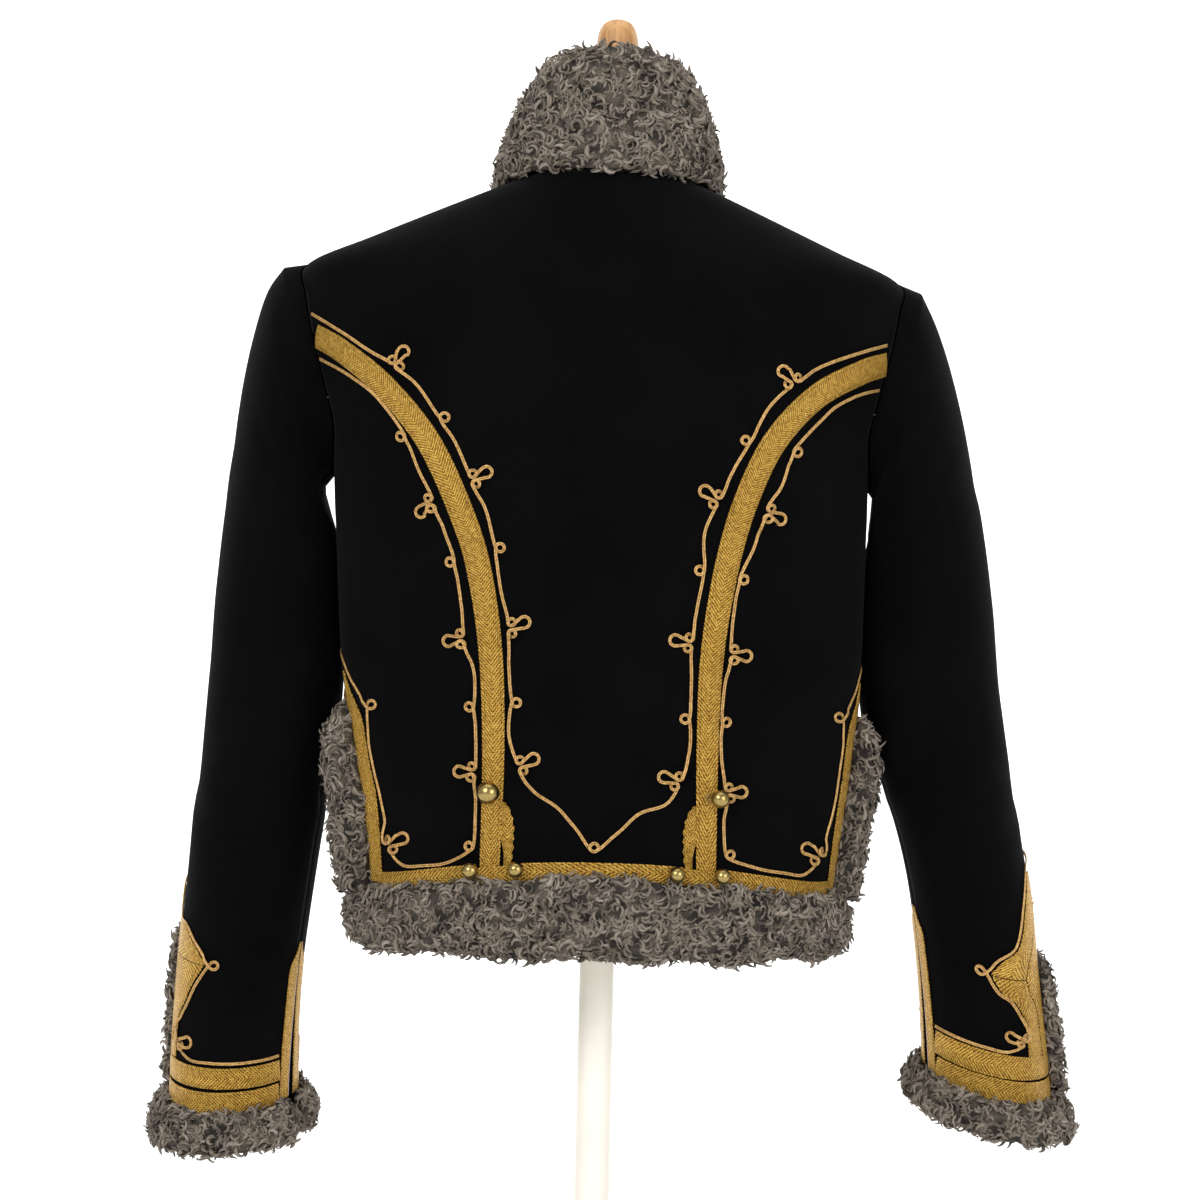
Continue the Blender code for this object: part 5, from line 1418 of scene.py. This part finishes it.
def make_braids(finish):
    """The tracing braid of the back, the hips and the cuffs."""
    inner = INNER_LEFT + CENTRE_EYELET + tuple(reversed(INNER_RIGHT))
    places = [on_back(*spot) for spot in cord_line(inner, 1)]
    russia_braid("braid_inner", ("trace_inner",), cloth_body, places, finish)
    for (name, side), outer in zip(SIDES, (OUTER_LEFT, OUTER_RIGHT)):
        places = [on_back(*spot) for spot in cord_line(outer, side)]
        front = hip_front(side, outer)
        places.append(((places[-1][0] + front[0][0]) / 2, places[-1][1] + 4))
        places.extend(front)
        russia_braid(f"braid_outer_{name}", (f"trace_outer_{name}",), cloth_body, places, finish)
    for name, side, *cuff in CUFFS:
        russia_braid(f"braid_cuff_{name}", (f"trace_cuff_{name}",), cuff_surface(side), cuff_cord(*cuff),
                     finish, above=0.0002)


def make_ball_buttons(finish):
    """The balls with the seam round their middle and a short shank."""
    for name, x, height, radius in BALLS:
        turn, level = on_back(x, height)
        middle = cloth_body(turn, level, LAY + 0.0014 + radius * MM)
        shape = bmesh.new()
        bmesh.ops.create_uvsphere(shape, u_segments=32, v_segments=20, radius=radius * MM)
        for vert in shape.verts:
            ring = math.exp(-(vert.co.z / (0.06 * radius * MM)) ** 2)
            vert.co *= 1 + 0.018 * ring
        bmesh.ops.create_cone(shape, segments=16, radius1=radius * 0.3 * MM, radius2=radius * 0.22 * MM,
                              depth=1.6 * MM, cap_ends=True,
                              matrix=Matrix.Translation((0, 0, -(radius + 0.3) * MM)))
        turned_out = normal_of(cloth_body, turn, level).to_track_quat("Z", "Y").to_matrix()
        bmesh.ops.rotate(shape, verts=shape.verts, matrix=turned_out)
        bmesh.ops.translate(shape, verts=shape.verts, vec=middle)
        finish_piece(name.replace("ball_", "button_"), as_mesh(shape, name), finish, (name,))
    # The right upper ball has turned on its stitches, so its shank's ring shows beside it.
    angles = [math.radians(20 * i) for i in range(19)]
    ring = [on_back(77.6 + 2.1 * math.cos(angle), -140.6 + 2.1 * math.sin(angle)) for angle in angles]
    russia_braid("button_shank_right", (), cloth_body, ring, finish, 0.0004, False, 0.0016)


def spun(name, node, profile, steps, y, material):
    """A turned piece: a profile in millimetres from the waist level, spun about the upright axis."""
    shape = bmesh.new()
    verts = [shape.verts.new((radius * MM, 0, WAIST_LEVEL + height * MM)) for radius, height in profile]
    edges = [shape.edges.new(pair) for pair in zip(verts, verts[1:])]
    bmesh.ops.spin(shape, geom=verts + edges, cent=(0, 0, 0), axis=(0, 0, 1), angle=2 * math.pi,
                   steps=steps, use_merge=True)
    bmesh.ops.remove_doubles(shape, verts=shape.verts, dist=1e-5)
    bmesh.ops.translate(shape, verts=shape.verts, vec=(0, y, 0))
    bmesh.ops.recalc_face_normals(shape, faces=shape.faces)
    piece = finish_piece(name, as_mesh(shape, name), material, (node,))
    smooth = piece.modifiers.new("smooth", "SUBSURF")
    smooth.levels = smooth.render_levels = 1
    return piece


def make_form_pieces(wood, linen, paint):
    """The dress form's knob, stand and torso."""
    knob = ((0, 436), (5, 435.5), (9, 434), (12, 431), (14.2, 427), (15.6, 421), (16, 412), (15.7, 403),
            (14.6, 396), (12.8, 391), (13, 388.5), (16.5, 386), (24, 382.5), (34, 378.5), (38, 375),
            (38.6, 371), (37, 367), (34, 365.4), (0, 365.4))
    spun("turned_knob", "form_knob", knob, 40, 0.002, wood)
    pole, base, top = POLE_RADIUS, BASE_RADIUS, FLOOR + BASE_THICKNESS
    stand = ((0, -236.5), (12, -236.5), (pole, -238), (pole, -300), (pole, -510), (pole + 0.4, -520),
             (pole + 8, -527), (pole + 11, -531), (pole + 12, -536), (pole + 14, -537.4),
             (base - 16, top - 0.6), (base - 6, top - 2), (base - 1.6, top - 7), (base, FLOOR + 9),
             (base, FLOOR + 2.5), (base - 1.5, FLOOR + 0.4), (base - 5, FLOOR), (60, FLOOR), (0, FLOOR))
    spun("pole_and_base", "form_stand", stand, 64, 0.0, paint)
    shape = bmesh.new()
    shape.from_mesh(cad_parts["form_torso"].data)
    bmesh.ops.remove_doubles(shape, verts=shape.verts, dist=1e-6)
    bmesh.ops.dissolve_limit(shape, angle_limit=math.radians(1), verts=shape.verts, edges=shape.edges)
    finish_piece("torso", as_mesh(shape, "torso"), linen, ("form_torso",))


# Piece, node, share of the density, seed, how far it stands out, and for the hem's two halves
# the y between them and whether the half is beyond it
FLEECES = (
    ("fleece_collar", "fur_collar", 1.0, 11, 0.0005, None),
    ("fleece_hem_back", "fur_hem", 1.0, 12, 0.001, (0.0, False)),
    ("fleece_hem_front", "fur_hem", 0.65, 13, 0.001, (0.0, True)),
    ("fleece_hip_left", "fur_hip_left", 1.0, 14, 0.001, None),
    ("fleece_hip_right", "fur_hip_right", 1.0, 15, 0.001, None),
    ("fleece_front_left", "fur_front_left", 0.65, 16, 0.0, None),
    ("fleece_front_right", "fur_front_right", 0.65, 17, 0.0, None),
    ("fleece_cuff_left", "fur_cuff_left", 1.0, 18, 0.0025, None),
    ("fleece_cuff_right", "fur_cuff_right", 1.0, 19, 0.0025, None),
    ("fleece_forearm_left", "fur_strip_left", 1.0, 20, 0.001, None),
    ("fleece_forearm_right", "fur_strip_right", 1.0, 21, 0.001, None),
)


class PelisseColours(bpy.types.PropertyGroup):
    """Colours of the coat, as sRGB hex codes."""
    wool: StringProperty(name="Wool", description="Black of the broadcloth where it is lightest",
                         default="#060607")
    # The lace's bright colour is partly a painted highlight on the raised threads.
    lace_bright: StringProperty(name="Lace, bright", description="Gold lace on the raised threads",
                                default="#EBC968")
    lace_middle: StringProperty(name="Lace, middle", description="Gold lace as seen from afar",
                                default="#BC8A2C")
    # Painted shade of the lace between its threads.
    lace_shade: StringProperty(name="Lace, dark", description="Gold lace between the threads",
                              default="#5E3D10")
    braid: StringProperty(name="Braid", description="Narrow gilt cord", default="#D2AC6E")
    # Painted shade of the cord between its threads.
    braid_shade: StringProperty(name="Braid, dark", description="Narrow gilt cord between its threads",
                               default="#94692F")
    # Painted light: the fleece's light colour falls on curls on top of the clumps, its dark colour is painted
    # shade between the curls.
    fleece_light: StringProperty(name="Fleece, tips", description="Palest curls", default="#998F83")
    fleece_middle: StringProperty(name="Fleece, middle", description="Most curls", default="#70665A")
    fleece_shade: StringProperty(name="Fleece, depth", description="Between the curls", default="#1C1815")


class PelisseSizes(bpy.types.PropertyGroup):
    """Sizes of what the scene adds to the solids."""
    curl_spacing: FloatProperty(name="Curl spacing", description="Mean distance between two fleece curls",
                                default=0.0032, min=0.002, max=0.01, unit="LENGTH")
    curl_size: FloatProperty(name="Curl size", description="Scale of the fleece curls", default=1.0, min=0.5,
                             max=2.0, subtype="FACTOR")
    lace_pitch: FloatProperty(name="Lace pitch", default=2.6, min=1.0, max=6.0,
                              description="Distance between two chevrons of the lace, in mm")


class PELISSE_OT_cloth(bpy.types.Operator):
    """Builds the wool panels, sleeves and collar"""
    bl_idname = "pelisse.cloth"
    bl_label = "Wool cloth"

    def execute(self, context):
        finish = wool_material(context.scene.pelisse_colours.wool)
        # Cotton piping: a pale cord folded into the slit's edge.
        piping = new_material("pale_cotton_piping", Roughness=0.8, Base_Color=colour("#A99DB0"))[0]
        make_panels(finish)
        make_sleeve_cloth(finish, piping)
        make_collar_cloth(finish)
        return {"FINISHED"}


class PELISSE_OT_lace(bpy.types.Operator):
    """Builds the gold laces of the back, hem, hips and cuffs"""
    bl_idname = "pelisse.lace"
    bl_label = "Gold lace"

    def execute(self, context):
        colours = context.scene.pelisse_colours
        pitch = context.scene.pelisse_sizes.lace_pitch
        finish = lace_material("gold_wire_lace", colours.lace_bright, colours.lace_middle,
                               colours.lace_shade, pitch)
        make_back_lace_pieces(finish)
        make_hem_lace_pieces(finish)
        make_cuff_lace_pieces(finish)
        return {"FINISHED"}


class PELISSE_OT_braid(bpy.types.Operator):
    """Builds the narrow braid with its eyelets and knots"""
    bl_idname = "pelisse.braid"
    bl_label = "Tracing braid"

    def execute(self, context):
        colours = context.scene.pelisse_colours
        make_braids(cord_material(colours.braid, colours.braid_shade))
        return {"FINISHED"}


class PELISSE_OT_buttons(bpy.types.Operator):
    """Builds the six ball buttons"""
    bl_idname = "pelisse.buttons"
    bl_label = "Ball buttons"

    def execute(self, context):
        make_ball_buttons(gilt_material())
        return {"FINISHED"}


class PELISSE_OT_fleece(bpy.types.Operator):
    """Builds the curled fleece of collar, hem, hips, fronts and cuffs"""
    bl_idname = "pelisse.fleece"
    bl_label = "Lamb fleece"

    def execute(self, context):
        colours = context.scene.pelisse_colours
        sizes = context.scene.pelisse_sizes
        finish = fleece_material("grey_lamb_fleece", colours.fleece_light, colours.fleece_middle,
                                 colours.fleece_shade)
        tree = curl_nodes(make_curls(finish))
        spacing = sizes.curl_spacing * 1
        for name, node, share, seed, grow, split in FLEECES:
            fleece(name, node, tree, finish, share / spacing ** 2, seed, grow, sizes.curl_size, split)
        return {"FINISHED"}


class PELISSE_OT_form(bpy.types.Operator):
    """Builds the dress form's torso, knob, pole and base"""
    bl_idname = "pelisse.form"
    bl_label = "Dress form"

    def execute(self, context):
        make_form_pieces(beech_material(), linen_material(), paint_material())
        return {"FINISHED"}


class PELISSE_OT_stage(bpy.types.Operator):
    """Sets the pale floor, the lights and the camera"""
    bl_idname = "pelisse.stage"
    bl_label = "Stage"

    def execute(self, context):
        scene = context.scene
        # Backdrop paper: matt, uncoated and nearly white.
        paper = new_material("white_paper_backdrop", Roughness=0.95, Base_Color=colour("#F7F7F7"))[0]
        shape = bmesh.new()
        bmesh.ops.create_grid(shape, x_segments=4, y_segments=40, size=1)
        back, bend = 4, 1.6        # where the floor ends and the radius of its curve up to the wall
        for vert in shape.verts:
            share = (vert.co.y + 1) / 2 * 12.5
            x = vert.co.x * 9
            if share < 8:
                vert.co = (x, share - back, 0)
            elif share < 10:
                angle = (share - 8) / 2 * math.pi / 2
                vert.co = (x, back + bend * math.sin(angle), bend * (1 - math.cos(angle)))
            else:
                vert.co = (x, back + bend, bend + (share - 10) * 1.4)
        mesh = as_mesh(shape, "backdrop")
        mesh.materials.append(paper)
        mesh.shade_smooth()
        backdrop = linked("backdrop", mesh)

        def soft_light(name, place, aim, size, power):
            light = bpy.data.lights.new(name, "AREA")
            light.shape = "RECTANGLE"
            light.size, light.size_y = size
            light.energy = power
            lamp = linked(name, light)
            lamp.location = place
            lamp.rotation_euler = (Vector(aim) - Vector(place)).to_track_quat("-Z", "Y").to_euler()
        soft_light("key", (-1.5, -2.6, 2.1), (0, 0, 0.6), (1.4, 1.4), 62)
        soft_light("fill", (1.9, -2.2, 1.2), (0, 0, 0.55), (1.6, 1.6), 34)
        soft_light("top", (0, 0.2, 2.6), (0, 0, 0.6), (1.8, 1.8), 24)
        for name, side in SIDES:
            soft_light(f"backdrop_{name}", (side * 3.0, 3.0, 2.4), (0, 5.2, 0.7), (1.6, 1.6), 130)
        world = bpy.data.worlds.new("studio")
        scene.world = world
        world.use_nodes = True
        sky = world.node_tree.nodes["Background"]
        sky.inputs["Color"].default_value = (1, 1, 1, 1)
        # The camera sees it as white paper, the pieces are lit by about half of that.
        seen = add(world.node_tree, "ShaderNodeLightPath").outputs["Is Camera Ray"]
        power = calc(world.node_tree, "MULTIPLY_ADD", seen, 0.45, 0.55)
        world.node_tree.links.new(power, sky.inputs["Strength"])
        scene.view_settings.view_transform = "Standard"

        lens = bpy.data.cameras.new("camera")
        lens.sensor_width = 36
        lens.lens = 108
        camera = linked("camera", lens)
        camera.matrix_world = (Matrix.Translation((-0.0038, -2.7, WAIST_LEVEL))
                               @ Matrix.Rotation(math.radians(90), 4, "X")
                               @ Matrix.Rotation(math.radians(1.3), 4, "Z"))
        scene.camera = camera
        return {"FINISHED"}


OPERATORS = (PELISSE_OT_cloth, PELISSE_OT_lace, PELISSE_OT_braid, PELISSE_OT_buttons, PELISSE_OT_fleece,
             PELISSE_OT_form, PELISSE_OT_stage)


class PELISSE_PT_panel(bpy.types.Panel):
    """Lists the sizes, the colours and the pieces"""
    bl_idname = "PELISSE_PT_panel"
    bl_label = "Pelisse"
    bl_space_type = "VIEW_3D"
    bl_region_type = "UI"
    bl_category = "Pelisse"

    def draw(self, context):
        layout = self.layout
        for group in (context.scene.pelisse_sizes, context.scene.pelisse_colours):
            for key in group.__annotations__:
                layout.prop(group, key)
        for operator in OPERATORS:
            layout.operator(operator.bl_idname)


CLASSES = (PelisseColours, PelisseSizes) + OPERATORS + (PELISSE_PT_panel,)


def register():
    """Adds the classes and the scene's two groups."""
    for made in CLASSES:
        bpy.utils.register_class(made)
    bpy.types.Scene.pelisse_colours = PointerProperty(type=PelisseColours)
    bpy.types.Scene.pelisse_sizes = PointerProperty(type=PelisseSizes)


def unregister():
    """Takes them out again."""
    del bpy.types.Scene.pelisse_colours
    del bpy.types.Scene.pelisse_sizes
    for made in reversed(CLASSES):
        bpy.utils.unregister_class(made)


def cloth_tree():
    """Every cloth solid in one tree, to tell a trim's inner side from its outer side."""
    shape = bmesh.new()
    for name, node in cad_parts.items():
        if name.startswith(("back_panel", "side_body", "front_", "sleeve_", "collar_stand")):
            shape.from_mesh(node.data)
    tree = BVHTree.FromBMesh(shape)
    shape.free()
    return tree


CLOTH_TREE = cloth_tree()


def main():
    """Builds the whole scene."""
    register()
    for step in (bpy.ops.pelisse.stage, bpy.ops.pelisse.form, bpy.ops.pelisse.cloth, bpy.ops.pelisse.lace,
                 bpy.ops.pelisse.braid, bpy.ops.pelisse.buttons, bpy.ops.pelisse.fleece):
        step()


if __name__ == "__main__":
    main()
